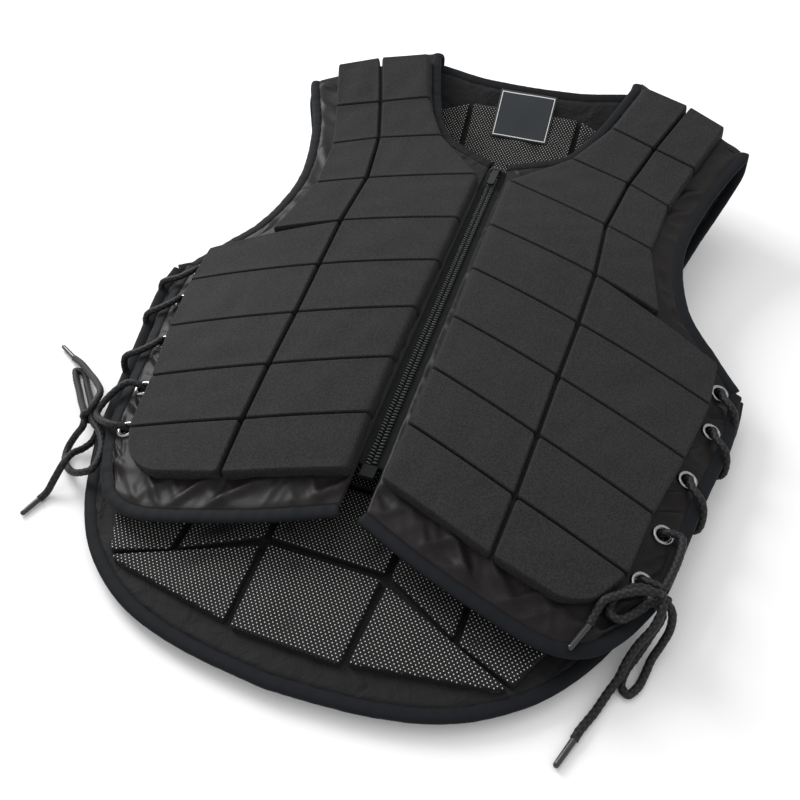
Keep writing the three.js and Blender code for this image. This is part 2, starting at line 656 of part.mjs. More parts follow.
// Label on the upper back lining.
const LABEL_CENTRE = 0.943 * BODY_LENGTH;
const LABEL_REACH = 0.72 * LABEL_HEIGHT;
const labelOffset = liningBase + LINING_PAD_HEIGHT + SEWN_GAP;
const labelPlan = [-1, -0.5, 0, 0.5, 1].map((v) => [-0.5, 0, 0.5].map((u) => (
  new THREE.Vector2(u * LABEL_WIDTH, LABEL_CENTRE + (v * LABEL_REACH) / 2))));
addMesh('label', wallBetween(
  labelPlan.map((row) => row.map((p) => backPoint(p.x, p.y, labelOffset + LABEL_THICKNESS))),
  labelPlan.map((row) => row.map((p) => backPoint(p.x, p.y, labelOffset))),
), 'label');

// Zip: two woven tapes, the closed chain, bottom box, slider and pull.
const ZIP_STEPS = 9;
function zipStrip(fromX, toX, bottomY, topY, low, high) {
  const line = (offset) => [...Array(ZIP_STEPS + 1).keys()].map((k) => (
    [fromX, toX].map((x) => frontPoint(x, lerp(bottomY, topY, k / ZIP_STEPS), offset))));
  return wallBetween(line(high), line(low));
}
const chainHalf = CHAIN_WIDTH / 2;
const boxTop = ZIP_BOTTOM + BOX_LENGTH;
const sliderBottom = ZIP_TOP - SLIDER_LENGTH;
sides.forEach(([name, side]) => {
  addMesh(`${name}_zip_tape`, zipStrip(side * (chainHalf + GAP), side * (ZIP_OPENING - GAP),
    boxTop + GAP, ZIP_TOP, -ZIP_TAPE_THICKNESS / 2, ZIP_TAPE_THICKNESS / 2), 'zip');
});
const bridgeStart = ZIP_TOP - 3;
addMesh('zip_chain', zipStrip(-chainHalf, chainHalf, boxTop + GAP, bridgeStart - GAP,
  -CHAIN_THICKNESS / 2, CHAIN_THICKNESS / 2), 'zip');

function placedOnZip(geometry, y) {
  const origin = frontPoint(0, y);
  const ahead = frontPoint(0, y + 5).sub(frontPoint(0, y - 5)).normalize();
  const angle = Math.atan2(ahead.z, ahead.y);
  return geometry.rotateX(angle).translate(origin.x, origin.y, origin.z);
}
function block(width, length, height, x, y, z) {
  return new THREE.BoxGeometry(width, length, height).translate(x, y, z);
}
const boxHeight = CHAIN_THICKNESS + 1.6;
addMesh('zip_bottom_box', placedOnZip(block(BOX_WIDTH, BOX_LENGTH, boxHeight, 0, BOX_LENGTH / 2, 0), ZIP_BOTTOM),
  'dark');

const plateBase = CHAIN_THICKNESS / 2 + 0.5;
const plateTop = plateBase + SLIDER_PLATE;
const plateMiddle = plateBase + SLIDER_PLATE / 2;
const pinHeight = plateTop + KNUCKLE_RADIUS + GAP;
const cheekX = PULL_WIDTH / 2 + GAP + CHEEK_THICKNESS / 2;
const cheekHeight = pinHeight + PIN_RADIUS + 0.6 - plateBase;
const pinAlong = SLIDER_LENGTH * 0.55;
const slider = join([
  block(SLIDER_WIDTH, SLIDER_LENGTH, SLIDER_PLATE, 0, SLIDER_LENGTH / 2, plateMiddle),
  block(SLIDER_WIDTH, SLIDER_LENGTH, SLIDER_PLATE, 0, SLIDER_LENGTH / 2, -plateMiddle),
  block(CHAIN_WIDTH - 1, 2.6, 2 * plateMiddle, 0, SLIDER_LENGTH - 1.3, 0),
  block(CHEEK_THICKNESS, 5, cheekHeight, cheekX, pinAlong, plateBase + cheekHeight / 2),
  block(CHEEK_THICKNESS, 5, cheekHeight, -cheekX, pinAlong, plateBase + cheekHeight / 2),
  new THREE.CylinderGeometry(PIN_RADIUS, PIN_RADIUS, 2 * cheekX, 8).rotateZ(Math.PI / 2)
    .translate(0, pinAlong, pinHeight),
]);
addMesh('zip_slider', placedOnZip(slider, sliderBottom), 'dark');

const pullOutline = new THREE.Shape();
const pullHalf = PULL_WIDTH / 2;
const pullHead = 0.6 * KNUCKLE_RADIUS;
const pullChamfer = 0.24 * PULL_WIDTH;
pullOutline.moveTo(-pullHalf, pullHead);
pullOutline.lineTo(pullHalf, pullHead);
pullOutline.lineTo(pullHalf, pullHead - PULL_LENGTH + pullChamfer);
pullOutline.lineTo(pullHalf - pullChamfer, pullHead - PULL_LENGTH);
pullOutline.lineTo(-pullHalf + pullChamfer, pullHead - PULL_LENGTH);
pullOutline.lineTo(-pullHalf, pullHead - PULL_LENGTH + pullChamfer);
pullOutline.closePath();
const pullPlate = new THREE.ExtrudeGeometry(pullOutline, { depth: PULL_THICKNESS, bevelEnabled: false });
pullPlate.translate(0, pinAlong, pinHeight - PULL_THICKNESS / 2);
const pinHole = new THREE.CylinderGeometry(PIN_RADIUS + GAP, PIN_RADIUS + GAP, PULL_WIDTH + 2, 8)
  .rotateZ(Math.PI / 2).translate(0, pinAlong, pinHeight);
const knuckle = new THREE.CylinderGeometry(KNUCKLE_RADIUS, KNUCKLE_RADIUS, PULL_WIDTH, 12).rotateZ(Math.PI / 2)
  .translate(0, pinAlong, pinHeight);
addMesh('zip_pull', placedOnZip(cut(join([pullPlate, knuckle]), [pinHole]), sliderBottom), 'dark');

// Laces. Each side has one lace: through the eyelets in turn, then a bow with two ends.
const LACING_STEPS = 50;
const LACE_STEP = 12;
const laceRadius = LACE_DIAMETER / 2;
function tube(points, radius, steps, sideCount = LACE_SIDES) {
  const curve = new THREE.CatmullRomCurve3(points, false, 'centripetal');
  const section = new THREE.Shape();
  for (let k = 0; k < sideCount; k += 1) {
    const angle = (2 * Math.PI * (k + 0.5)) / sideCount;
    const [x, y] = [radius * Math.cos(angle), radius * Math.sin(angle)];
    if (k === 0) {
      section.moveTo(x, y);
    } else {
      section.lineTo(x, y);
    }
  }
  section.closePath();
  return new THREE.ExtrudeGeometry(section, { steps, bevelEnabled: false, extrudePath: curve });
}
function freeTube(points, radius = laceRadius) {
  const path = points.map((p) => new THREE.Vector3(...p));
  const length = new THREE.CatmullRomCurve3(path, false, 'centripetal').getLength();
  return tube(path, radius, Math.max(1, Math.round(length / LACE_STEP)));
}

// Out of a front eyelet, round both edges, up through the back one, and on to the next.
// From the fourth eyelet it passes the knot and goes down through the fifth.
const FRONT_EYELET_INSET = 9.5;
const edgeLift = TAPE_THICKNESS / 2 + laceRadius;
function lacingPoints(side, knotCentre) {
  const route = [];
  const along = (place, rise) => place.centre.clone().addScaledVector(place.normal, rise);
  const last = frontEyelets.length - 1;
  frontEyelets.slice(0, last - 1).forEach((share, k) => {
    const front = eyeletPlace(side, share);
    const back = backEyeletPlace(side, share);
    const frontReach = side * front.centre.x + FRONT_EYELET_INSET + GAP + TAPE_WIDTH;
    const backReach = side * back.centre.x + BACK_EYELET_INSET + GAP + TAPE_WIDTH;
    const reach = Math.max(frontReach, backReach) + laceRadius + 1.5;
    const at = (x, y, z) => new THREE.Vector3(side * x, y, z);
    route.push(along(front, -4.6), along(front, 4.6));
    route.push(at(frontReach - 5, front.centre.y - 4, front.centre.z + edgeLift + 2));
    route.push(at(reach, front.centre.y - 10, front.centre.z - 1));
    route.push(at(Math.max(reach - 1, backReach + laceRadius + 1.6), back.centre.y + 5, back.centre.z + 2));
    route.push(at(backReach - 2, back.centre.y + 2, back.centre.z - edgeLift));
    route.push(along(back, -edgeLift - 0.6), along(back, 5.2));
    route.push(along(back, 5.2).lerp(along(eyeletPlace(side, frontEyelets[k + 1]), -5), 0.5));
  });
  const [fourth, fifth] = [last - 1, last].map((k) => eyeletPlace(side, frontEyelets[k]));
  const over = (place) => place.centre.clone().add(new THREE.Vector3(side * 11, -3, edgeLift + 2));
  const towards = over(fourth).lerp(over(fifth), 0.5).sub(knotCentre);
  const passing = towards.setLength(KNOT_RADIUS + laceRadius + 2 * GAP).add(knotCentre);
  route.push(along(fourth, -4.6), along(fourth, 4.6), over(fourth), passing);
  route.push(over(fifth), along(fifth, 4.6), along(fifth, -4.6));
  return route;
}

// Bows as they lie, in millimetres from the middle of the tail's edge.
const bows = {
  right: {
    knot: [-211, 138, 22],
    loops: [
      [[-219, 143, 20], [-230, 153, 14], [-244, 167, 8], [-259, 182, 4], [-264, 189, 3], [-257, 189, 3],
        [-243, 175, 5], [-228, 160, 10], [-215, 147, 18]],
      [[-211, 130, 19], [-216, 125, 12], [-219, 117, 6], [-215, 107, 5], [-202, 97, 10], [-188, 93, 18],
        [-180, 97, 21], [-180, 105, 22], [-185, 117, 22], [-195, 128, 22], [-204, 134, 22]],
    ],
    ends: [
      [[-208, 142, 29], [-212, 157, 27], [-226, 170, 21], [-243, 182, 14], [-260, 193, 9], [-273, 200, 4]],
      [[-204, 136, 14], [-203, 127, 9.5], [-204, 117, 11], [-205, 107, 16], [-204, 97, 18], [-207, 87, 11],
        [-210, 78, 4], [-212, 72, 3]],
    ],
    tips: [[-292, 210, 3], [-216, 57, 2.5]],
  },
  left: {
    knot: [203, 119, 35],
    loops: [
      [[196, 124, 35], [189, 123, 35], [181, 117, 34.5], [177, 109, 34], [177, 101, 34], [183, 99, 34],
        [189, 104, 34], [195, 111, 35], [198, 115, 35]],
      [[212, 117, 29], [214, 112, 18], [212, 106, 10], [208, 96, 6], [206, 87, 3], [203, 77, 3],
        [198, 71, 3], [194, 75, 3], [195, 85, 3.5], [199, 94, 7], [204, 106, 14], [207, 115, 27]],
    ],
    ends: [
      [[201, 118, 43], [190, 115, 44], [179, 110, 41], [172, 105, 39], [169, 98, 34.5], [167, 90, 33.2]],
      [[205, 112, 39], [203, 103, 31], [197, 94, 20], [193, 84, 14], [191, 76, 9], [187, 67, 5],
        [182, 54, 3], [176, 41, 3], [174, 35, 3]],
    ],
    tips: [[159, 71, 33.5], [167, 17, 2.5]],
  },
};
// Both legs of a loop end beside each other in the knot.
function loopRoute(points, knotCentre) {
  const [first, last] = [points[0], points.at(-1)].map((p) => new THREE.Vector3(...p));
  const apart = first.sub(last).setLength(laceRadius + GAP);
  return [knotCentre.clone().add(apart).toArray(), ...points, knotCentre.clone().sub(apart).toArray()];
}
sides.forEach(([name, side]) => {
  const bow = bows[name];
  const knotCentre = new THREE.Vector3(...bow.knot);
  const lacing = lacingPoints(side, knotCentre);
  addMesh(`${name}_lacing`, tube(lacing, laceRadius, LACING_STEPS), 'lace');
  const knotBall = new THREE.IcosahedronGeometry(KNOT_RADIUS, 1).translate(...bow.knot);
  const loops = bow.loops.map((points) => freeTube(loopRoute(points, knotCentre)));
  addMesh(`${name}_bow`, join([knotBall, ...loops]), 'lace', cords);
  bow.ends.forEach((points, k) => {
    const start = new THREE.Vector3(...points[0]).sub(knotCentre).setLength(KNOT_RADIUS + SEWN_GAP).add(knotCentre);
    addMesh(`${name}_lace_end_${k + 1}`, freeTube([start.toArray(), ...points]), 'lace', cords);
    const from = new THREE.Vector3(...points.at(-1));
    const to = new THREE.Vector3(...bow.tips[k]);
    from.lerp(to, SEWN_GAP / from.distanceTo(to));
    addMesh(`${name}_aglet_${k + 1}`, tube([from, to], AGLET_DIAMETER / 2, 1), 'plastic', cords);
  });
});

// The origin is under the middle of the vest without its loose laces, on the surface that it lies on.
const extent = new THREE.Box3().setFromObject(vest);
const middle = extent.getCenter(new THREE.Vector3());
vest.add(cords);
vest.position.set(-middle.x, -middle.y, -extent.min.z);
export default vest;
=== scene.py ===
import math

import bmesh
import bpy
import numpy as np
from mathutils import Matrix, Vector


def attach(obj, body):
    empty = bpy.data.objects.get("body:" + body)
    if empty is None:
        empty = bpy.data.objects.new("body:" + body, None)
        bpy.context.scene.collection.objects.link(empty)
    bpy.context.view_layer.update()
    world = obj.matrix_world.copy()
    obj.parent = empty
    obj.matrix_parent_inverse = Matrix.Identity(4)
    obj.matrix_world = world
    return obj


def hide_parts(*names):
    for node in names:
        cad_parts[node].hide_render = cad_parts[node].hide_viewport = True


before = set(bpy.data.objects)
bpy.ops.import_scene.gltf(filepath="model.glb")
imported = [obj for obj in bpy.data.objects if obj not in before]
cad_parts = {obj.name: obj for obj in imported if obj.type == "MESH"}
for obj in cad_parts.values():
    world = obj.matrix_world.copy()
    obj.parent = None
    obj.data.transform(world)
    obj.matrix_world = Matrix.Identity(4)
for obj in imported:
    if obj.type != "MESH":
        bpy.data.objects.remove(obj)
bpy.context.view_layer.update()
print("frame loaded")


# Camera, as the photo has it: beside the tail, looking down at the chest
camera = {
    "place": (0.1388, -0.4736, 0.4606),
    "azimuth": 19.803,
    "elevation": 46.923,
    "lens": 36,
}
turn = math.radians(camera["azimuth"])
tilt = math.radians(camera["elevation"])
back = Vector((math.sin(turn) * math.cos(tilt), -math.cos(turn) * math.cos(tilt), math.sin(tilt)))
cameraData = bpy.data.cameras.new("photoCamera")
cameraData.lens = camera["lens"]
cameraData.sensor_width = 36
cameraData.clip_start = 0.01
cameraObject = bpy.data.objects.new("photoCamera", cameraData)
cameraObject.location = camera["place"]
cameraObject.rotation_mode = "QUATERNION"
cameraObject.rotation_quaternion = (-back).to_track_quat("-Z", "Y")
bpy.context.scene.collection.objects.link(cameraObject)
bpy.context.scene.camera = cameraObject


# The vest's form, in metres: heights as shares of the rises, places as shares of half chest and length
vest = {
    "length": 0.636,
    "halfChest": 0.210,
    "frontRise": 0.114,
    "backRise": 0.079,
    "frontShift": 0.011,
    "frontStack": 0.0107,
    "backStack": 0.0093,
    "curl": 0.011,
    "origin": (-0.000126, -0.318302),
    "cover": 0.0024,
    "panel": 0.0036,
}
frontProfile = np.array([  # along, centre, side
    [0.100, 0.420, 0.250],
    [0.162, 0.465, 0.268],
    [0.319, 0.544, 0.333],
    [0.476, 0.596, 0.372],
    [0.634, 0.649, 0.526],
    [0.791, 0.702, 0.702],
    [0.885, 0.807, 0.877],
    [0.980, 0.965, 1.053],
    [1.042, 1.070, 1.158],
])
backProfile = np.array([  # along, rise
    [0.000, 0.000],
    [0.720, 0.000],
    [0.820, 0.080],
    [0.869, 0.230],
    [0.921, 0.510],
    [0.972, 0.910],
    [1.030, 1.300],
])
frontSeams = np.array([  # inner, middle and outer end of each seam, from the shoulder down
    [[0.524, 0.972], [0.729, 0.943], [0.900, 0.909]],
    [[0.433, 0.885], [0.629, 0.855], [0.814, 0.829]],
    [[0.300, 0.811], [0.557, 0.778], [0.738, 0.747]],
    [[0.071, 0.736], [0.510, 0.682], [0.705, 0.657]],
    [[0.071, 0.632], [0.514, 0.586], [0.776, 0.555]],
    [[0.071, 0.632], [0.514, 0.586], [1.005, 0.513]],
    [[0.071, 0.542], [0.500, 0.497], [0.995, 0.448]],
    [[0.076, 0.453], [0.481, 0.406], [0.933, 0.357]],
    [[0.076, 0.368], [0.467, 0.319], [0.862, 0.275]],
    [[0.071, 0.286], [0.452, 0.239], [0.819, 0.200]],
    [[0.062, 0.212], [0.433, 0.168], [0.714, 0.146]],
])
backSeams = np.array([  # the same for the back, from the tail up
    [[0.181, 0.037], [0.405, 0.044], [0.610, 0.066]],
    [[0.200, 0.140], [0.457, 0.094], [0.640, 0.070]],
    [[0.210, 0.232], [0.457, 0.200], [0.800, 0.170]],
    [[0.220, 0.330], [0.467, 0.300], [0.850, 0.265]],
    [[0.230, 0.425], [0.476, 0.395], [0.900, 0.355]],
    [[0.240, 0.520], [0.486, 0.490], [0.880, 0.440]],
    [[0.245, 0.612], [0.490, 0.585], [0.700, 0.555]],
    [[0.250, 0.705], [0.495, 0.680], [0.680, 0.655]],
    [[0.255, 0.800], [0.500, 0.780], [0.740, 0.745]],
    [[0.265, 0.955], [0.430, 0.940], [0.780, 0.840]],
])
edges = {
    "hem": [[0.043, 0.176], [0.248, 0.149], [0.457, 0.129], [0.640, 0.117], [0.752, 0.127], [0.829, 0.156]],
    "side": [[0.829, 0.156], [0.905, 0.205], [0.948, 0.266], [1.000, 0.343], [1.062, 0.423], [1.076, 0.492]],
    "arm": [[1.076, 0.492], [0.990, 0.523], [0.850, 0.583], [0.796, 0.679], [0.867, 0.791], [0.976, 0.874]],
    "zip": [[0.043, 0.176], [0.043, 0.776]],
    "neck": [[0.043, 0.776], [0.133, 0.790], [0.300, 0.822], [0.405, 0.888], [0.500, 0.979]],
    "tail": [[0.000, 0.013], [0.280, 0.021], [0.500, 0.040], [0.680, 0.078], [0.800, 0.125], [0.880, 0.174]],
    "backSide": [[0.880, 0.174], [0.938, 0.220], [0.990, 0.285], [1.048, 0.362], [1.105, 0.440],
                 [1.119, 0.492]],
    "backArm": [[1.119, 0.492], [1.010, 0.545], [0.862, 0.610], [0.806, 0.690], [0.867, 0.785],
                [0.981, 0.870]],
    "backNeck": [[0.000, 0.972], [0.238, 0.974], [0.405, 0.980], [0.490, 0.983]],
    "crest": [[0.490, 0.983], [0.981, 0.870]],
}
frontEyelets = [[1.031, 0.484], [1.017, 0.423], [0.957, 0.343], [0.905, 0.266], [0.864, 0.206]]
planSize = np.array([vest["halfChest"], vest["length"]])
sides = {"right": -1, "left": 1}


def readProfile(table, column, along):  # a smooth curve through a column, level where the table is level
    places, values = table[:, 0], table[:, column]
    t = np.clip(along, places[0], places[-1])
    i = np.clip(np.searchsorted(places, t) - 1, 0, len(places) - 2)
    before = np.maximum(np.arange(len(places)) - 1, 0)
    after = np.minimum(np.arange(len(places)) + 1, len(places) - 1)
    slopes = (values[after] - values[before]) / (places[after] - places[before])
    level = (values[after] - values) * (values - values[before]) == 0
    level[[0, -1]] = False
    slopes = np.where(level, 0, slopes)
    width = places[i + 1] - places[i]
    s = (t - places[i]) / width
    rise = values[i + 1] - values[i]
    m0, m1 = slopes[i] * width, slopes[i + 1] * width
    return values[i] + s * (m0 + s * (3 * rise - 2 * m0 - m1 + s * (m0 + m1 - 2 * rise)))


def smoothStep(x, low, high):
    t = np.clip((x - low) / (high - low), 0, 1)
    return t * t * (3 - 2 * t)


def frontHeight(x, y):
    along = y / vest["length"]
    bulge = np.minimum((x / vest["halfChest"]) ** 2, 1.3)
    centre, side = readProfile(frontProfile, 1, along), readProfile(frontProfile, 2, along)
    return vest["frontRise"] * (centre + (side - centre) * bulge) - vest["frontStack"]


def backHeight(x, y):
    across = np.abs(x)
    half = vest["halfChest"]
    along = (y + 0.52 * np.maximum(0, across - 0.48 * half)) / vest["length"]
    curl = np.maximum(0, across - 0.86 * half) / (0.26 * half)
    laced = 1 - smoothStep(y / vest["length"], 0.5, 0.7)
    rise = vest["backRise"] * readProfile(backProfile, 1, along)
    return vest["backStack"] + rise + vest["curl"] * laced * curl ** 2


def onSurface(height, x, y, offset):
    d = 0.001
    slopeX = (height(x + d, y) - height(x - d, y)) / (2 * d)
    slopeY = (height(x, y + d) - height(x, y - d)) / (2 * d)
    normal = np.stack([-slopeX, -slopeY, np.ones_like(slopeX)], -1)
    normal /= np.linalg.norm(normal, axis=-1, keepdims=True)
    return np.stack([x, y, height(x, y)], -1) + normal * np.asarray(offset)[..., None]


def toFrame(points):
    return points + np.array([*vest["origin"], 0])


def frontPoint(plan, offset=0.0):
    x, y = np.asarray(plan)[..., 0], np.asarray(plan)[..., 1]
    points = onSurface(frontHeight, x, y, np.broadcast_to(offset, x.shape))
    points[..., 0] += vest["frontShift"] * np.clip((0.854 - y / vest["length"]) / 0.692, 0, 1)
    return toFrame(points)


def backPoint(plan, offset=0.0):
    x, y = np.asarray(plan)[..., 0], np.asarray(plan)[..., 1]
    return toFrame(onSurface(backHeight, x, y, np.broadcast_to(offset, x.shape)))


def planOf(shares, side=1):
    return np.asarray(shares) * planSize * np.array([side, 1])


def evenly(points, count):  # resamples a polyline at equal lengths
    steps = np.concatenate([[0], np.cumsum(np.linalg.norm(np.diff(points, axis=0), axis=1))])
    places = np.linspace(0, steps[-1], count)
    return np.stack([np.interp(places, steps, points[:, k]) for k in range(points.shape[1])], -1)


def smoothEdge(name, steps, side=1):  # an even curve through an edge's points
    points = planOf(edges[name], side)
    if len(points) == 2:
        return evenly(points, steps + 1)
    last = len(points) - 1
    t = np.linspace(0, last, 40 * last + 1)
    i = np.minimum(t.astype(int), last - 1)
    w = (t - i)[:, None]
    p0, p1 = points[np.maximum(i - 1, 0)], points[i]
    p2, p3 = points[i + 1], points[np.minimum(i + 2, last)]
    v0, v1 = (p2 - p0) / 2, (p3 - p1) / 2
    curve = (2 * p1 - 2 * p2 + v0 + v1) * w ** 3 + (-3 * p1 + 3 * p2 - 2 * v0 - v1) * w ** 2 + v0 * w + p1
    return evenly(curve, steps + 1)


def patch(low, high, left, right):  # fills four edges, rows from low to high
    u = np.linspace(0, 1, len(low))[None, :, None]
    v = np.linspace(0, 1, len(left))[:, None, None]
    across = low[None] * (1 - v) + high[None] * v
    along = left[:, None] * (1 - u) + right[:, None] * u
    corners = (low[0] * (1 - u) + low[-1] * u) * (1 - v) + (high[0] * (1 - u) + high[-1] * u) * v
    return across + along - corners


def joined(*stretches):
    return np.concatenate([stretches[0], *[s[1:] for s in stretches[1:]]])


# Colours and materials
def hexColour(code):
    values = [int(code[k:k + 2], 16) / 255 for k in (1, 3, 5)]
    return (*[v / 12.92 if v <= 0.04045 else ((v + 0.055) / 1.055) ** 2.4 for v in values], 1)


def addNode(tree, kind, settings=(), links=()):  # settings: sockets or properties, links: socket to output
    node = tree.nodes.new(kind)
    for key, value in dict(settings).items():
        if isinstance(key, int) or key in node.inputs:
            node.inputs[key].default_value = value
        else:
            setattr(node, key, value)
    for key, output in dict(links).items():
        tree.links.new(output, node.inputs[key])
    return node


def newMaterial(name, sockets):
    material = bpy.data.materials.new(name)
    material.use_nodes = True
    tree = material.node_tree
    shader = tree.nodes["Principled BSDF"]
    for key, value in sockets.items():
        shader.inputs[key].default_value = value
    return material, tree, shader


def tint(tree, shader, factor, dark, light):  # the colour runs between two hex values
    ramp = addNode(tree, "ShaderNodeMix", {"data_type": "RGBA"}, {})
    ramp.inputs[6].default_value = hexColour(dark)
    ramp.inputs[7].default_value = hexColour(light)
    tree.links.new(factor, ramp.inputs[0])
    tree.links.new(ramp.outputs[2], shader.inputs["Base Color"])
    return ramp.outputs[2]


def bump(tree, shader, height, distance, strength=1.0):
    node = addNode(tree, "ShaderNodeBump", {"Distance": distance, "Strength": strength}, {"Height": height})
    tree.links.new(node.outputs[0], shader.inputs["Normal"])


def makeKnit():
    # Polyester stretch knit over foam: matt, with a fine speckle of loops catching the light
    material, tree, shader = newMaterial("polyesterKnit", {
        "Roughness": 0.8, "Sheen Weight": 0.08, "Sheen Roughness": 0.45, "Specular IOR Level": 0.2})
    shader.inputs["Sheen Tint"].default_value = hexColour("#8a8a90")
    place = addNode(tree, "ShaderNodeTexCoord")
    # loops about 1.3 mm apart, drawn coarser than a real knit so that they show
    loops = addNode(tree, "ShaderNodeTexVoronoi", {"Scale": 760}, {"Vector": place.outputs["Object"]})
    grain = addNode(tree, "ShaderNodeTexNoise", {"Scale": 540, "Detail": 4, "Roughness": 0.7},
                    {"Vector": place.outputs["Object"]})
    broad = addNode(tree, "ShaderNodeTexNoise", {"Scale": 9, "Detail": 2},
                    {"Vector": place.outputs["Object"]})
    speckle = addNode(tree, "ShaderNodeMath", {"operation": "MULTIPLY"},
                      {0: loops.outputs["Distance"], 1: grain.outputs["Fac"]})
    level = addNode(tree, "ShaderNodeMath", {"operation": "MULTIPLY_ADD", 1: 2.6}, {0: speckle.outputs[0]})
    shade = addNode(tree, "ShaderNodeMath", {"operation": "MULTIPLY", 1: 0.3}, {0: broad.outputs["Fac"]})
    tree.links.new(shade.outputs[0], level.inputs[2])
    tint(tree, shader, level.outputs[0], "#060606", "#282728")
    bump(tree, shader, speckle.outputs[0], 0.00035, 0.6)
    return material


def makeSatin():
    # Polyester satin lining cloth: smooth floats of thread give a soft brownish sheen along the folds
    material, tree, shader = newMaterial("polyesterSatin", {
        "Roughness": 0.4, "Sheen Weight": 0.02, "Sheen Roughness": 0.3, "Specular IOR Level": 0.14})
    shader.inputs["Sheen Tint"].default_value = hexColour("#7a6f66")
    place = addNode(tree, "ShaderNodeTexCoord")
    stretch = addNode(tree, "ShaderNodeMapping", {"Scale": (1500, 420, 900)},
                      {"Vector": place.outputs["Object"]})
    thread = addNode(tree, "ShaderNodeTexNoise", {"Scale": 1.0, "Detail": 3}, {"Vector": stretch.outputs[0]})
    tint(tree, shader, thread.outputs["Fac"], "#0b0a0a", "#211e1d")
    bump(tree, shader, thread.outputs["Fac"], 0.00015, 0.5)
    return material


def makeBinding():
    # Woven polyester binding tape, folded over the edge: a fine rib across it and a bluish black
    material, tree, shader = newMaterial("wovenBinding", {
        "Roughness": 0.66, "Sheen Weight": 0.02, "Sheen Roughness": 0.4, "Specular IOR Level": 0.12})
    shader.inputs["Sheen Tint"].default_value = hexColour("#8c93a0")
    place = addNode(tree, "ShaderNodeUVMap", {"uv_map": "UVMap"})
    ribs = addNode(tree, "ShaderNodeTexWave",
                   {"bands_direction": "X", "Scale": 300, "Distortion": 1.5, "Detail": 2},
                   {"Vector": place.outputs[0]})
    tint(tree, shader, ribs.outputs["Fac"], "#0c0d0f", "#191b20")
    bump(tree, shader, ribs.outputs["Fac"], 0.00012, 0.5)
    return material


def makeMesh(withDots):
    # Warp-knit mesh: over the foam each open cell shows as a bright dot, on the margins only as a pit,
    # painted darker as painted shade
    name = "warpKnitMesh" if withDots else "warpKnitMargin"
    material, tree, shader = newMaterial(name, {
        "Roughness": 0.72, "Sheen Weight": 0.05, "Sheen Roughness": 0.4, "Specular IOR Level": 0.2})
    place = addNode(tree, "ShaderNodeUVMap", {"uv_map": "UVMap"})
    pitch = {"across": 0.0030, "along": 0.0037}  # two staggered rows in each step along
    parts = addNode(tree, "ShaderNodeMapping", {"Scale": (1 / pitch["across"], 1 / pitch["along"], 1)},
                    {"Vector": place.outputs[0]})
    heights = []
    for shift in (0.0, 0.5):
        moved = addNode(tree, "ShaderNodeVectorMath", {"operation": "ADD", 1: (shift, shift, 0)},
                        {0: parts.outputs[0]})
        cell = addNode(tree, "ShaderNodeVectorMath", {"operation": "FRACTION"}, {0: moved.outputs[0]})
        middle = addNode(tree, "ShaderNodeVectorMath", {"operation": "SUBTRACT", 1: (0.5, 0.5, 0)},
                         {0: cell.outputs[0]})
        real = addNode(tree, "ShaderNodeVectorMath", {"operation": "MULTIPLY",
                       1: (pitch["across"], pitch["along"], 0)}, {0: middle.outputs[0]})
        reach = addNode(tree, "ShaderNodeVectorMath", {"operation": "LENGTH"}, {0: real.outputs[0]})
        heights.append(reach.outputs["Value"])
    near = addNode(tree, "ShaderNodeMath", {"operation": "MINIMUM"}, {0: heights[0], 1: heights[1]})
    dot = addNode(tree, "ShaderNodeMapRange", {"interpolation_type": "SMOOTHSTEP", "From Min": 0.00046,
                  "From Max": 0.00024}, {"Value": near.outputs[0]})
    if withDots:
        lift = addNode(tree, "ShaderNodeAttribute", {"attribute_name": "share"})
        onTop = addNode(tree, "ShaderNodeMapRange", {"From Min": 0.80, "From Max": 0.93},
                        {"Value": lift.outputs["Fac"]})
        shown = addNode(tree, "ShaderNodeMath", {"operation": "MULTIPLY"},
                        {0: dot.outputs[0], 1: onTop.outputs[0]})
        tint(tree, shader, shown.outputs[0], "#121213", "#d2d0cb")
    else:
        # on the margins each open cell is painted darker than the mesh around it: painted shade in the pit
        tint(tree, shader, dot.outputs[0], "#161617", "#070708")
        place = addNode(tree, "ShaderNodeTexCoord")
        creases = addNode(tree, "ShaderNodeTexNoise", {"Scale": 55, "Detail": 3, "Distortion": 0.6},
                          {"Vector": place.outputs["Object"]})
        bump(tree, shader, creases.outputs["Fac"], 0.004, 0.8)
    return material


def makeBraid():
    # Round braided polyester lace: strands cross in a herringbone, matt, with small glints that are painted
    # highlight: the colour is lighter on the strands' raised crests and darker in the grooves between them,
    # painted shade
    material, tree, shader = newMaterial("braidedPolyester", {
        "Roughness": 0.6, "Sheen Weight": 0.08, "Sheen Roughness": 0.4, "Specular IOR Level": 0.3})
    shader.inputs["Sheen Tint"].default_value = hexColour("#8a8a90")
    place = addNode(tree, "ShaderNodeUVMap", {"uv_map": "UVMap"})
    fibre = addNode(tree, "ShaderNodeTexNoise", {"Scale": 1400, "Detail": 3}, {"Vector": place.outputs[0]})
    # the braid's relief, high on each strand's raised crest: the colour is painted lighter there as painted
    # highlight and darker in the grooves as painted shade
    strand = addNode(tree, "ShaderNodeAttribute", {"attribute_name": "share"})
    shade = addNode(tree, "ShaderNodeMath", {"operation": "MULTIPLY"},
                    {0: strand.outputs["Fac"], 1: fibre.outputs["Fac"]})
    lift = addNode(tree, "ShaderNodeMath", {"operation": "MULTIPLY", 1: 1.7}, {0: shade.outputs[0]})
    tint(tree, shader, lift.outputs[0], "#060607", "#313133")
    bump(tree, shader, fibre.outputs["Fac"], 0.0001, 0.4)
    return material


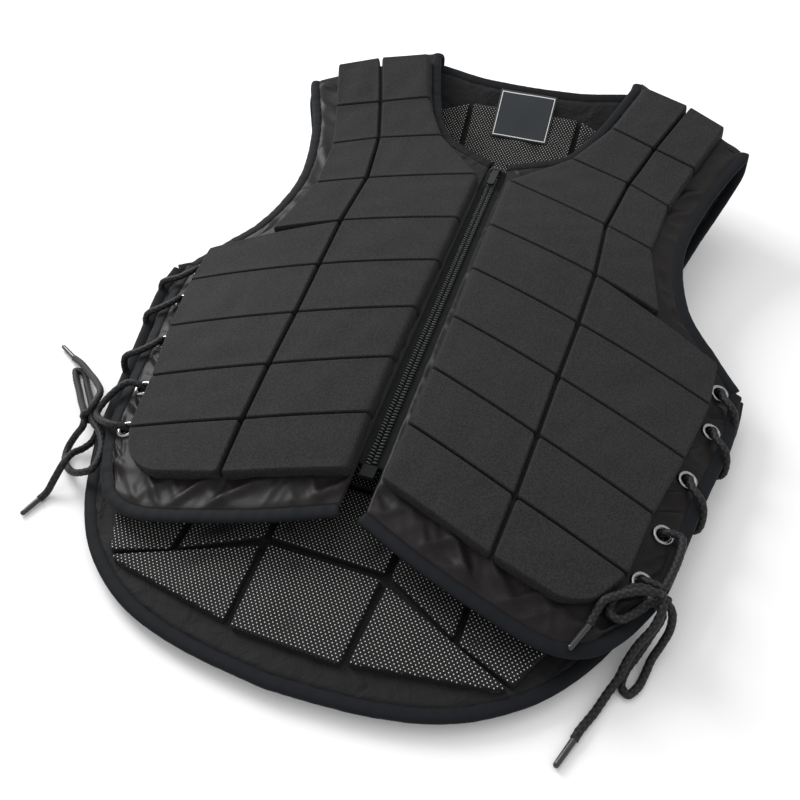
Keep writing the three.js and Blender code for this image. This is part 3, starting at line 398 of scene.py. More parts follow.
def makeZipTape():
    # Woven polyester zip tape: a tight twill
    material, tree, shader = newMaterial("twillTape", {
        "Roughness": 0.75, "Sheen Weight": 0.02, "Specular IOR Level": 0.1})
    place = addNode(tree, "ShaderNodeTexCoord")
    twill = addNode(tree, "ShaderNodeTexWave",
                    {"bands_direction": "DIAGONAL", "Scale": 330, "Distortion": 0.8},
                    {"Vector": place.outputs["Object"]})
    tint(tree, shader, twill.outputs["Fac"], "#0d0e0e", "#1b1c1c")
    bump(tree, shader, twill.outputs["Fac"], 0.00012, 0.5)
    return material


def makeNylon(name, roughness, shine, light):
    # Moulded nylon: the zip's teeth are slightly glossy on their rounded tops, its bottom box is duller
    material, tree, shader = newMaterial(name, {"Roughness": roughness, "Specular IOR Level": shine})
    place = addNode(tree, "ShaderNodeTexCoord")
    haze = addNode(tree, "ShaderNodeTexNoise", {"Scale": 300, "Detail": 2},
                   {"Vector": place.outputs["Object"]})
    tint(tree, shader, haze.outputs["Fac"], "#0c0d0d", light)
    return material


def makeEnamel():
    # Zinc slider under dark enamel: smooth and glossy, worn a little lighter in patches
    material, tree, shader = newMaterial("darkEnamel", {
        "Metallic": 0.25, "Roughness": 0.35, "Specular IOR Level": 0.3,
        "Coat Weight": 0.08, "Coat Roughness": 0.15})
    place = addNode(tree, "ShaderNodeTexCoord")
    wear = addNode(tree, "ShaderNodeTexNoise", {"Scale": 420, "Detail": 5},
                   {"Vector": place.outputs["Object"]})
    tint(tree, shader, wear.outputs["Fac"], "#0b0c0c", "#2b2e2d")
    return material


def makeNickel():
    # Nickel-plated brass eyelets: bright, with faint turning marks and handling haze
    material, tree, shader = newMaterial("nickelPlate", {"Metallic": 1.0, "Roughness": 0.2})
    place = addNode(tree, "ShaderNodeTexCoord")
    haze = addNode(tree, "ShaderNodeTexNoise", {"Scale": 500, "Detail": 4},
                   {"Vector": place.outputs["Object"]})
    tint(tree, shader, haze.outputs["Fac"], "#7d7e80", "#b4b5b6")
    rough = addNode(tree, "ShaderNodeMapRange", {"To Min": 0.14, "To Max": 0.34},
                    {"Value": haze.outputs["Fac"]})
    tree.links.new(rough.outputs[0], shader.inputs["Roughness"])
    return material


def makeShrink():
    # Heat-shrunk acetate lace tips: glossy black plastic
    material, tree, shader = newMaterial("shrunkAcetate", {"Roughness": 0.22, "Specular IOR Level": 0.55})
    place = addNode(tree, "ShaderNodeTexCoord")
    marks = addNode(tree, "ShaderNodeTexNoise", {"Scale": 700, "Detail": 2},
                    {"Vector": place.outputs["Object"]})
    tint(tree, shader, marks.outputs["Fac"], "#121213", "#2b2b2d")
    return material


def makeLabel(margin, line):
    # Woven damask label, left bare, with the thin pale border that is woven round its edge
    material, tree, shader = newMaterial("damaskLabel", {"Roughness": 0.75, "Specular IOR Level": 0.2})
    place = addNode(tree, "ShaderNodeUVMap", {"uv_map": "UVMap"})
    parts = addNode(tree, "ShaderNodeSeparateXYZ", {}, {0: place.outputs[0]})
    near = None
    for k in (0, 1):  # distance to the nearest edge, in metres: u and v run from 0 to the label's size
        high = addNode(tree, "ShaderNodeMath", {"operation": "SUBTRACT", 0: margin["size"][k]},
                       {1: parts.outputs[k]})
        low = addNode(tree, "ShaderNodeMath", {"operation": "MINIMUM"},
                      {0: parts.outputs[k], 1: high.outputs[0]})
        if near is None:
            near = low
        else:
            near = addNode(tree, "ShaderNodeMath", {"operation": "MINIMUM"},
                           {0: near.outputs[0], 1: low.outputs[0]})
    off = addNode(tree, "ShaderNodeMath", {"operation": "SUBTRACT", 1: line["inset"]}, {0: near.outputs[0]})
    size = addNode(tree, "ShaderNodeMath", {"operation": "ABSOLUTE"}, {0: off.outputs[0]})
    border = addNode(tree, "ShaderNodeMath", {"operation": "LESS_THAN", 1: line["width"] / 2},
                     {0: size.outputs[0]})
    tint(tree, shader, border.outputs[0], "#34373a", "#dededb")
    weave = addNode(tree, "ShaderNodeTexWave", {"Scale": 500, "Distortion": 1}, {"Vector": place.outputs[0]})
    bump(tree, shader, weave.outputs["Fac"], 0.0001, 0.4)
    return material


def makeThread():
    # Bonded sewing thread, a shade lighter than the tape it holds
    material, tree, shader = newMaterial("sewingThread", {"Roughness": 0.5})
    place = addNode(tree, "ShaderNodeTexCoord")
    twist = addNode(tree, "ShaderNodeTexNoise", {"Scale": 2500}, {"Vector": place.outputs["Object"]})
    tint(tree, shader, twist.outputs["Fac"], "#101115", "#2e3138")
    return material


knit, satin, bindingCloth = makeKnit(), makeSatin(), makeBinding()
dotMesh, plainMesh = makeMesh(True), makeMesh(False)
braid, zipTape, enamel = makeBraid(), makeZipTape(), makeEnamel()
nylon = makeNylon("mouldedNylon", 0.3, 0.55, "#35383a")
dullNylon = makeNylon("dullNylon", 0.6, 0.12, "#161818")
nickel, shrink, thread = makeNickel(), makeShrink(), makeThread()
print("materials made")


# Meshes
def makeObject(name, points, faces, materials, faceMaterials=None, uv=None, smooth=True, attribute=None):
    mesh = bpy.data.meshes.new(name)
    mesh.from_pydata([tuple(p) for p in points], [], [tuple(int(k) for k in f) for f in faces])
    for material in materials:
        mesh.materials.append(material)
    if faceMaterials is not None:
        mesh.polygons.foreach_set("material_index", np.asarray(faceMaterials, np.int32))
    if uv is not None:
        layer = mesh.uv_layers.new(name="UVMap")
        loops = np.zeros(len(mesh.loops), np.int32)
        mesh.loops.foreach_get("vertex_index", loops)
        layer.data.foreach_set("uv", np.asarray(uv, np.float32)[loops].ravel())
    if attribute is not None:
        values = mesh.attributes.new("share", "FLOAT", "POINT")
        values.data.foreach_set("value", np.asarray(attribute, np.float32))
    work = bmesh.new()
    work.from_mesh(mesh)
    bmesh.ops.recalc_face_normals(work, faces=work.faces)
    work.to_mesh(mesh)
    work.free()
    mesh.polygons.foreach_set("use_smooth", [smooth] * len(mesh.polygons))
    piece = bpy.data.objects.new(name, mesh)
    bpy.context.scene.collection.objects.link(piece)
    return piece


def addPiece(piece, nodes=(), body="vest"):
    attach(piece, body)
    if nodes:
        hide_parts(*nodes)
    return piece


def wallFaces(rows, columns, keep=None):  # a closed wall from two grids; keep says which quads stay
    keep = np.ones((rows - 1, columns - 1), bool) if keep is None else keep
    index = np.arange(rows * columns).reshape(rows, columns)
    a, b, c, d = index[:-1, :-1], index[:-1, 1:], index[1:, 1:], index[1:, :-1]
    top = np.stack([a[keep], b[keep], c[keep], d[keep]], -1)
    low = top[:, ::-1] + rows * columns
    padded = np.pad(keep, 1)
    rims = []
    for (di, dj), (p, q) in {(-1, 0): (a, b), (1, 0): (c, d), (0, 1): (b, c), (0, -1): (d, a)}.items():
        beside = padded[1 + di:rows + di, 1 + dj:columns + dj]
        open_ = keep & ~beside
        rims.append(np.stack([q[open_], p[open_], p[open_] + rows * columns, q[open_] + rows * columns], -1))
    rim = np.concatenate(rims)
    return top, low, rim


def sheet(name, top, bottom, uvs, materials, keep=None):
    rows, columns = top.shape[:2]
    topFaces, lowFaces, rim = wallFaces(rows, columns, keep)
    points = np.concatenate([top.reshape(-1, 3), bottom.reshape(-1, 3)])
    used = np.unique(np.concatenate([topFaces.ravel(), lowFaces.ravel(), rim.ravel()]))
    renumber = np.zeros(len(points), int)
    renumber[used] = np.arange(len(used))
    faces = renumber[np.concatenate([topFaces, lowFaces, rim])]
    kinds = [0] * len(topFaces) + [1] * (len(lowFaces) + len(rim))
    uv = np.tile(uvs.reshape(-1, 2), (2, 1))[used]
    return makeObject(name, points[used], faces, materials, kinds, uv)


slopeTable = np.linspace(0, vest["length"] * 1.02, 400)
slopeHeights = backHeight(np.zeros(400), slopeTable)
slopeLengths = np.concatenate([[0], np.cumsum(np.hypot(np.diff(slopeTable), np.diff(slopeHeights)))])


def flatUv(plan, onBack):  # where a point lies on the cloth, in metres
    along = np.interp(plan[..., 1], slopeTable, slopeLengths) if onBack else plan[..., 1]
    return np.stack([plan[..., 0], along], -1)


def folds(along, distance, reach, waves, seed):  # gathers that run away from an edge, none at either end
    phases = np.random.default_rng(seed).uniform(0, 2 * np.pi, 3 * len(waves)).reshape(-1, 3)
    total = np.zeros_like(along)
    for (length, strength, lean), (p, q, r) in zip(waves, phases):
        sway = 2.1 * np.sin(2 * np.pi * along / (3.7 * length) + q)
        drift = sway + 1.2 * np.sin(distance / (0.9 * length) + r)
        swing = 0.5 + 0.5 * np.cos(2 * np.pi * (along + lean * distance) / length + p + drift)
        patchy = 0.6 + 0.4 * np.sin(2 * np.pi * along / (2.3 * length) + 2 * r - q)
        total += strength * patchy * (2.2 * swing ** 2.6 - 0.8)
    share = np.clip(distance / reach, 0, 1)
    return total * np.maximum(np.sin(np.pi * share), 0) ** 0.8


def travelled(line):
    return np.concatenate([[0], np.cumsum(np.linalg.norm(np.diff(line, axis=0), axis=1))])


def eyeletOn(side, share):
    plan = planOf(share, side)
    centre = frontPoint(plan)
    return centre, frontPoint(plan, 1.0) - centre


def backEyeletOn(side, share):
    y = share[1] * vest["length"] - 0.024
    edge = smoothEdge("backSide", 40, side)
    x = edge[np.argmin(abs(edge[:, 1] - y)), 0] - side * 0.011
    centre = backPoint(np.array([x, y]))
    return centre, backPoint(np.array([x, y]), 1.0) - centre


# Laces: one braided cord on each side, through the eyelets in turn and tied in a bow. Points in millimetres
lace = {
    "radius": 0.0026,
    "sides": 20,
    "step": 0.0005,
    "strands": 4,
    "pitch": 0.0046,
    "relief": 0.05,
    "knotRadius": 0.0055,
    "seat": 0.0008,
    "backInset": 0.011,
    "frontInset": 0.0095,
    "gap": 0.0003,
    "tapeOut": 0.0019,
    "tapeHalf": 0.0023,
    "tipRadius": 0.0018,
}
bows = {
    "right": {
        "knot": [-211, 138, 22],
        "loops": [
            [[-219, 143, 20], [-230, 153, 14], [-244, 167, 8], [-259, 182, 4], [-264, 189, 3], [-257, 189, 3],
             [-243, 175, 5], [-228, 160, 10], [-215, 147, 18]],
            [[-211, 130, 19], [-216, 125, 12], [-219, 117, 6], [-215, 107, 5], [-202, 97, 10], [-188, 93, 18],
             [-180, 97, 21], [-180, 105, 22], [-185, 117, 22], [-195, 128, 22], [-204, 134, 22]],
        ],
        "ends": [
            [[-208, 142, 29], [-212, 157, 27], [-226, 170, 21], [-243, 182, 14], [-260, 193, 9],
             [-273, 200, 4]],
            [[-204, 136, 14], [-203, 127, 9.5], [-204, 117, 11], [-205, 107, 16], [-204, 97, 18],
             [-207, 87, 11],
             [-210, 78, 4], [-212, 72, 3]],
        ],
        "tips": [[-292, 210, 3], [-216, 57, 2.5]],
    },
    "left": {
        "knot": [203, 119, 35],
        "loops": [
            [[196, 124, 35], [189, 123, 35], [181, 117, 34.5], [177, 109, 34], [177, 101, 34], [183, 99, 34],
             [189, 104, 34], [195, 111, 35], [198, 115, 35]],
            [[212, 117, 29], [214, 112, 18], [212, 106, 10], [208, 96, 6], [206, 87, 3], [203, 77, 3],
             [198, 71, 3], [194, 75, 3], [195, 85, 3.5], [199, 94, 7], [204, 106, 14], [207, 115, 27]],
        ],
        "ends": [
            [[201, 118, 43], [190, 115, 44], [179, 110, 41], [172, 105, 39], [169, 98, 34.5],
             [167, 90, 33.2]],
            [[205, 112, 39], [203, 103, 31], [197, 94, 20], [193, 84, 14], [191, 76, 9], [187, 67, 5],
             [182, 54, 3], [176, 41, 3], [174, 35, 3]],
        ],
        "tips": [[159, 71, 33.5], [167, 17, 2.5]],
    },
}


def smoothRoute(points, step):  # a centripetal curve through the points, evenly sampled
    points = np.asarray(points, float)
    ends = np.concatenate([2 * points[:1] - points[1:2], points, 2 * points[-1:] - points[-2:-1]])
    stretches = []
    for k in range(len(points) - 1):
        p0, p1, p2, p3 = ends[k:k + 4]
        gaps = [max(np.linalg.norm(b - a), 1e-9) ** 0.5 for a, b in ((p0, p1), (p1, p2), (p2, p3))]
        m1 = ((p1 - p0) / gaps[0] - (p2 - p0) / (gaps[0] + gaps[1]) + (p2 - p1) / gaps[1]) * gaps[1]
        m2 = ((p2 - p1) / gaps[1] - (p3 - p1) / (gaps[1] + gaps[2]) + (p3 - p2) / gaps[2]) * gaps[1]
        w = np.linspace(0, 1, 41)[:, None]
        curve = (2 * p1 - 2 * p2 + m1 + m2) * w ** 3 + (-3 * p1 + 3 * p2 - 2 * m1 - m2) * w ** 2 + m1 * w + p1
        stretches.append(curve if k == 0 else curve[1:])
    line = np.concatenate(stretches)
    return evenly(line, max(2, int(round(travelled(line)[-1] / step)) + 1))


def laceTube(route, radius, braided=True, tapers=False):
    line = smoothRoute(route, lace["step"] if braided else 0.001)
    tangent = np.gradient(line, axis=0)
    tangent /= np.linalg.norm(tangent, axis=-1, keepdims=True)
    side = np.cross(tangent[0], [0.0, 0.0, 1.0] if abs(tangent[0][2]) < 0.9 else [1.0, 0.0, 0.0])
    across = []
    for t in tangent:  # carried along without twisting
        side = side - t * np.dot(side, t)
        side /= np.linalg.norm(side)
        across.append(side)
    across = np.array(across)
    other = np.cross(tangent, across)
    angle = 2 * np.pi * np.arange(lace["sides"]) / lace["sides"]
    along = travelled(line)
    twist = 2 * np.pi * along[:, None] / lace["pitch"]
    turns, steps = np.broadcast_arrays(lace["strands"] * angle[None], twist)
    strand = (0.5 + 0.5 * np.cos(turns + steps)) * (0.5 + 0.5 * np.cos(turns - steps))
    size = radius * (1 + (lace["relief"] * (2 * strand - 1) if braided else 0 * strand))
    if tapers:  # a tip narrows a little and is rounded at its end
        left = along[-1] - along
        size = size * (0.8 + 0.2 * np.clip(left / along[-1], 0, 1) ** 0.5)[:, None]
        size[-1] *= 0.6
    rings = line[:, None] + size[..., None] * (
        across[:, None] * np.cos(angle)[None, :, None] + other[:, None] * np.sin(angle)[None, :, None])
    count, sideCount = rings.shape[:2]
    index = np.arange(count * sideCount).reshape(count, sideCount)
    around = np.roll(index, -1, axis=1)
    faces = np.stack([index[:-1], around[:-1], around[1:], index[1:]], -1).reshape(-1, 4).tolist()
    faces += [index[0].tolist(), index[-1][::-1].tolist()]
    uv = np.stack(np.broadcast_arrays(along[:, None], (angle * radius)[None]), -1).reshape(-1, 2)
    return rings.reshape(-1, 3), faces, uv, strand.ravel(), line


def laceObject(name, routes, material=None):
    points, faces, uvs, strands = [], [], [], []
    for route in routes:
        tubePoints, tubeFaces, uv, strand, line = laceTube(route, lace["radius"])
        start = sum(len(p) for p in points)
        faces += [[k + start for k in face] for face in tubeFaces]
        points.append(tubePoints)
        uvs.append(uv)
        strands.append(strand)
    piece = makeObject(name, np.concatenate(points), faces, [material or braid], None, np.concatenate(uvs),
                       attribute=np.concatenate(strands))
    return piece, line


def unit(vector):
    return vector / np.linalg.norm(vector)


def rawFront(share, side):  # an eyelet's centre and normal, from the middle of the tail's edge
    centre, normal = eyeletOn(side, share)
    return centre - toFrame(np.zeros(3)), normal


def rawBack(share, side):
    centre, normal = backEyeletOn(side, share)
    return centre - toFrame(np.zeros(3)), normal


def lacingRoute(side, knot):
    route = []
    for k, share in enumerate(frontEyelets[:3]):
        front, frontUp = rawFront(share, side)
        rear, rearUp = rawBack(share, side)
        below, belowUp = rawFront(frontEyelets[k + 1], side)
        frontReach = side * front[0] + lace["frontInset"] + lace["gap"] + lace["tapeOut"]
        backReach = side * rear[0] + lace["backInset"] + lace["gap"] + lace["tapeOut"]
        lift = lace["tapeHalf"] + lace["radius"]
        reach = max(frontReach, backReach) + lace["radius"] + 0.0002
        route += [front - 0.0046 * frontUp, front + 0.0040 * frontUp]
        route.append([side * (frontReach - 0.0080), front[1] - 0.009, front[2] + lift + 0.0006])
        route.append([side * (frontReach - 0.0010), front[1] - 0.017, front[2] + 0.8 * lift])
        route.append([side * (reach - 0.0006), front[1] - 0.0215, front[2] - 0.003])
        route.append([side * max(reach - 0.001, backReach + lace["radius"]), rear[1] - 0.001,
                      rear[2] + 0.003])
        route.append([side * (backReach - 0.002), rear[1] + 0.002, rear[2] - lift])
        route += [rear - (lift + 0.0006) * rearUp, rear + 0.0052 * rearUp]
        route.append((rear + 0.0052 * rearUp + below - 0.005 * belowUp) / 2)
    (fourth, fourthUp), (fifth, fifthUp) = (rawFront(share, side) for share in frontEyelets[3:])
    lift = lace["tapeHalf"] + lace["radius"] + 0.002
    over = [place + [side * 0.011, -0.003, lift] for place in (fourth, fifth)]
    clear = lace["knotRadius"] + lace["radius"] + 2 * lace["gap"]
    passing = knot + unit((over[0] + over[1]) / 2 - knot) * clear
    route += [fourth - 0.0046 * fourthUp, fourth + 0.0046 * fourthUp, over[0], passing]
    route += [over[1], fifth + 0.0046 * fifthUp, fifth - 0.0046 * fifthUp]
    return toFrame(np.array([np.asarray(p, float) for p in route]))


def knotRoute(knot, way):  # a turn and a half of lace round the roots of the loops
    across = unit(np.cross(way, [0.0, 0.0, 1.0]))
    other = np.cross(way, across)
    angle = np.linspace(0, 3.2 * np.pi, 25)[:, None]
    turnRadius = 0.0033
    return knot + across * np.cos(angle) * turnRadius + other * np.sin(angle) * turnRadius + way * (
        angle / np.pi - 1.6) * 0.0022


for name, side in sides.items():
    bow = bows[name]
    knot = np.array(bow["knot"]) / 1000
    lacing, _ = laceObject(f"{name}Lacing", [lacingRoute(side, knot)])
    addPiece(lacing, [f"{name}_lacing"])
    routes = []
    for loop in bow["loops"]:
        points = np.array(loop) / 1000
        apart = unit(points[0] - points[-1]) * (lace["radius"] + lace["gap"])
        routes.append(toFrame(np.concatenate([[knot + apart], points, [knot - apart]])))
    loopWay = unit(np.array(bow["loops"][1][0]) / 1000 - np.array(bow["loops"][0][0]) / 1000)
    routes.append(toFrame(knotRoute(knot, loopWay)))
    bowPiece, _ = laceObject(f"{name}Bow", routes)
    addPiece(bowPiece, [f"{name}_bow"])
    for k, (end, tip) in enumerate(zip(bow["ends"], bow["tips"])):
        points = np.array(end) / 1000
        start = knot + unit(points[0] - knot) * (lace["knotRadius"] + lace["seat"])
        endPiece, line = laceObject(f"{name}LaceEnd{k + 1}", [toFrame(np.concatenate([[start], points]))])
        addPiece(endPiece, [f"{name}_lace_end_{k + 1}"])
        last, tip = points[-1], np.array(tip) / 1000
        root = last - unit(tip - last) * 0.0015
        tipPoints, tipFaces, tipUv, _, _ = laceTube(toFrame(np.array([root, (root + tip) / 2, tip])),
                                                    lace["tipRadius"] * 1.15, False, True)
        tipPiece = makeObject(f"{name}LaceTip{k + 1}", tipPoints, tipFaces, [shrink], None, tipUv)
        addPiece(tipPiece, [f"{name}_aglet_{k + 1}"])
print("laces made")


# Front covers: satin over the whole front, gathered at its margins, with holes for the eyelets
cover = {
    "fine": 18,
    "columns": 110,
    "hemReach": 0.030,
    "sideReach": 0.026,
    "armReach": 0.020,
    "zipReach": 0.011,
    "puff": 0.0007,
    "flat": (0.235, 0.590),
    "hole": 0.0052,
    "calm": (0.0065, 0.012),
}
coverWaves = {  # length in metres, height in metres, lean
    "hem": [(0.041, 0.0016, 1.3), (0.023, 0.0008, -0.9), (0.012, 0.0003, 0.5)],
    "side": [(0.027, 0.0016, 0.3), (0.016, 0.0009, 0.7), (0.010, 0.0003, -0.4)],
    "arm": [(0.043, 0.0011, 1.2), (0.024, 0.0005, 0.7)],
    "zip": [(0.023, 0.0009, 0.6), (0.013, 0.0005, 0.3)],
}


def frontCover(name, side):
    k = cover["fine"]
    hem = smoothEdge("hem", cover["columns"], side)
    outer = joined(smoothEdge("side", 7 * k, side), smoothEdge("arm", 8 * k, side))
    inner = joined(smoothEdge("zip", 8 * k, side), smoothEdge("neck", 7 * k, side))
    high = inner[-1] + (outer[-1] - inner[-1]) * np.linspace(0, 1, len(hem))[:, None]
    plan = patch(hem, high, inner, outer)
    toHem = np.linalg.norm(plan - plan[:1], axis=-1)
    toOuter = np.linalg.norm(plan - plan[:, -1:], axis=-1)
    toInner = np.linalg.norm(plan - plan[:, :1], axis=-1)
    alongHem = np.broadcast_to(travelled(hem)[None], toHem.shape)
    alongOuter = np.broadcast_to(travelled(outer)[:, None], toHem.shape)
    alongInner = np.broadcast_to(travelled(inner)[:, None], toHem.shape)
    isSide = 1 - smoothStep(alongOuter, 0.205, 0.235)
    rise = folds(alongHem, toHem, cover["hemReach"], coverWaves["hem"], 3 + side)
    rise += folds(alongOuter, toOuter, cover["sideReach"], coverWaves["side"], 7 + side) * isSide
    rise += folds(alongOuter, toOuter, cover["armReach"], coverWaves["arm"], 13 + side) * (1 - isSide)
    rise += folds(alongInner, toInner, cover["zipReach"], coverWaves["zip"], 17 + side)
    nearest = np.minimum(np.minimum(toHem, toOuter), toInner)
    rise = (rise + cover["puff"]) * smoothStep(nearest, 0.0, 0.005)
    keep = np.ones((plan.shape[0] - 1, plan.shape[1] - 1), bool)
    middles = (plan[:-1, :-1] + plan[1:, 1:]) / 2
    for share in frontEyelets:
        far = np.linalg.norm(plan - planOf(share, side), axis=-1)
        rise *= smoothStep(far, *cover["calm"])
        keep &= np.linalg.norm(middles - planOf(share, side), axis=-1) > cover["hole"]
    half = vest["cover"] / 2
    top, bottom = frontPoint(plan, half + rise), frontPoint(plan, -half + 0.6 * rise)
    piece = sheet(name, top, bottom, flatUv(plan, False), [satin, plainMesh], keep)
    return piece


for name, side in sides.items():
    addPiece(frontCover(f"{name}FrontCover", side), [f"{name}_front_cover"])
print("front covers made")


# Padded blocks: foam under stretch knit, each with rounded corners, rolled edges and a slight crown
pads = {
    "rowChannel": 0.0007,
    "columnChannel": 0.0018,
    "height": 0.0095,
    "rowRoll": 0.0013,
    "columnRoll": 0.0020,
    "nearRoll": 0.0020,
    "zipRoll": 0.0052,
    "sunk": 0.0022,
    "outset": {"right": 0.0030, "left": 0.0},
    "zipOutset": {"right": 0.0042, "left": 0.0028},
    "corner": 0.0030,
    "crown": 0.0005,
    "unevenness": 0.00022,
    "grain": 0.0042,
}
liningPads = {**pads, "rowChannel": 0.0042, "columnChannel": 0.0042, "height": 0.0050, "rowRoll": 0.0016,
              "columnRoll": 0.0016, "nearRoll": 0.0016, "corner": 0.0022, "crown": 0.0003}
backPads = {**pads, "height": 0.0075, "rowRoll": 0.0024, "rowChannel": 0.0036}
edgeSteps = np.array([0, 0.12, 0.35, 0.7, 1.2, 1.8, 2.7, 4.5]) / 1000


def marks(length, grain):  # places across a block, close together near its edges
    middle = np.linspace(edgeSteps[-1], length - edgeSteps[-1], max(3, int((length - 0.01) / grain)))
    return np.concatenate([edgeSteps[:-1], middle, length - edgeSteps[-2::-1]]) / length


def padBlock(corners, values, seed, cornerRadii=None):
    a, b, c, d = corners
    across = (np.linalg.norm(b - a) + np.linalg.norm(c - d)) / 2
    along = (np.linalg.norm(d - a) + np.linalg.norm(c - b)) / 2
    (p, q), (r, s) = (b - a) / np.linalg.norm(b - a), (d - a) / np.linalg.norm(d - a)
    lean = abs(p * s - q * r)
    insetU = values["columnChannel"] / 2 / across / lean
    insetV = values["rowChannel"] / 2 / along / lean

    def inQuad(u, v):
        u, v = u[..., None], v[..., None]
        return (a * (1 - u) + b * u) * (1 - v) + (d * (1 - u) + c * u) * v

    corner = np.array([insetU, 1 - insetU]), np.array([insetV, 1 - insetV])
    turnsRound = (0, 0), (1, 0), (1, 1), (0, 1)
    a2, b2, c2, d2 = [inQuad(np.array(corner[0][i]), np.array(corner[1][j])) for i, j in turnsRound]
    us = insetU + (1 - 2 * insetU) * marks(across * (1 - 2 * insetU), values["grain"])
    vs = insetV + (1 - 2 * insetV) * marks(along * (1 - 2 * insetV), values["grain"])
    u, v = np.meshgrid(us, vs)
    plan = inQuad(u, v)
    centre = (a2 + b2 + c2 + d2) / 4

    def fromLine(p, q):  # distance to an edge, and the way in from it
        way = (q - p) / np.linalg.norm(q - p)
        inward = np.array([-way[1], way[0]])
        inward = inward if np.dot(centre - p, inward) > 0 else -inward
        return np.maximum((plan - p) @ inward, 0), inward

    edgesU = [fromLine(a2, d2), fromLine(b2, c2)]
    edgesV = [fromLine(a2, b2), fromLine(d2, c2)]
    leftIsNear = (u < 0.5)
    lowIsNear = (v < 0.5)
    dx = np.where(leftIsNear, edgesU[0][0], edgesU[1][0])
    dy = np.where(lowIsNear, edgesV[0][0], edgesV[1][0])
    wayX = np.where(leftIsNear[..., None], edgesU[0][1], edgesU[1][1])
    wayY = np.where(lowIsNear[..., None], edgesV[0][1], edgesV[1][1])
    radii = cornerRadii or [values["corner"]] * 4  # at a, b, c and d
    lowRadius = np.where(leftIsNear, radii[0], radii[1])
    highRadius = np.where(leftIsNear, radii[3], radii[2])
    radius = np.where(lowIsNear, lowRadius, highRadius)
    qx, qy = np.maximum(radius - dx, 0), np.maximum(radius - dy, 0)
    rx = qx * np.sqrt(1 - qy ** 2 / (2 * radius ** 2))
    ry = qy * np.sqrt(1 - qx ** 2 / (2 * radius ** 2))
    plan = plan + (qx - rx)[..., None] * wayX + (qy - ry)[..., None] * wayY
    depth = np.minimum(dx, dy)
    roll = np.where(leftIsNear, values["nearRoll"], values["columnRoll"])
    shortX = np.maximum(1 - dx / roll, 0)
    shortY = np.maximum(1 - dy / values["rowRoll"], 0)
    t = np.clip(1 - np.hypot(shortX, shortY), 0, 1)
    height = values["height"] * np.clip(1 - (1 - t) ** 2.6, 0, 1) ** (1 / 2.6)
    random = np.random.default_rng(seed)
    swell = values["crown"] * np.clip(16 * u * (1 - u) * v * (1 - v), 0, 1)
    waves = random.uniform(0.018, 0.05, 4), random.uniform(0, 2 * np.pi, 4), random.uniform(0, 2 * np.pi, 4)
    for length, way, phase in zip(*waves):
        swell = swell + values["unevenness"] * np.cos(
            2 * np.pi * (plan[..., 0] * math.cos(way) + plan[..., 1] * math.sin(way)) / length + phase)
    height = height + (swell - values["crown"]) * smoothStep(depth, 0, 0.008)
    return plan, height


def padStrip(name, cells, surface, base, values, material, seed, onBack, down=False, rounded=None):
    points, faces, uvs, lifts, start = [], [], [], [], 0
    sign = -1 if down else 1
    for k, cell in enumerate(cells):
        plan, height = padBlock(cell, values, seed + k, (rounded or {}).get(k))
        rows, columns = height.shape
        top = surface(plan, sign * (base + height))
        bottom = surface(plan, np.full(height.shape, sign * (base - values["sunk"])))
        topFaces, lowFaces, rim = wallFaces(rows, columns)
        points += [top.reshape(-1, 3), bottom.reshape(-1, 3)]
        faces += [np.concatenate([topFaces, lowFaces, rim]) + start]
        uvs += [np.tile(flatUv(plan, onBack).reshape(-1, 2), (2, 1))]
        lifts += [np.clip(height / values["height"], 0, 1).ravel(), np.zeros(height.size)]
        start += 2 * rows * columns
    piece = makeObject(name, np.concatenate(points), np.concatenate(faces), [material],
                       uv=np.concatenate(uvs), attribute=np.concatenate(lifts))
    return piece


def quad(seams, low, high, near, far, side):
    return [planOf(seams[low][near], side), planOf(seams[low][far], side),
            planOf(seams[high][far], side), planOf(seams[high][near], side)]


frontRows = [(10, 9), (9, 8), (8, 7), (7, 6), (6, 5), (4, 3), (3, 2), (2, 1), (1, 0)]
frontBase = vest["cover"] / 2
lowestCorners = [0.004, 0.018, 0.004, 0.004]  # the outer lower corner is cut back
for name, side in sides.items():
    for column, (near, far) in {"Inner": (0, 1), "Outer": (1, 2)}.items():
        cells = [quad(frontSeams, low, high, near, far, side) for low, high in frontRows]
        if column == "Outer":
            for cell in cells:
                cell[1] = cell[1] + [side * pads["outset"][name], 0]
                cell[2] = cell[2] + [side * pads["outset"][name], 0]
        else:
            for cell in cells:
                cell[0] = cell[0] - [side * pads["zipOutset"][name], 0]
                cell[3] = cell[3] - [side * pads["zipOutset"][name], 0]
        # a soft rim along the zip
        values = pads if column == "Outer" else {**pads, "nearRoll": pads["zipRoll"]}
        rounded = {0: lowestCorners} if column == "Outer" else None
        piece = padStrip(f"{name}FrontPads{column}", cells, frontPoint, frontBase, values, knit,
                         31 * near + 7 * side + 60, False, rounded=rounded)
        addPiece(piece, [f"{name}_front_pads_{column.lower()}"])

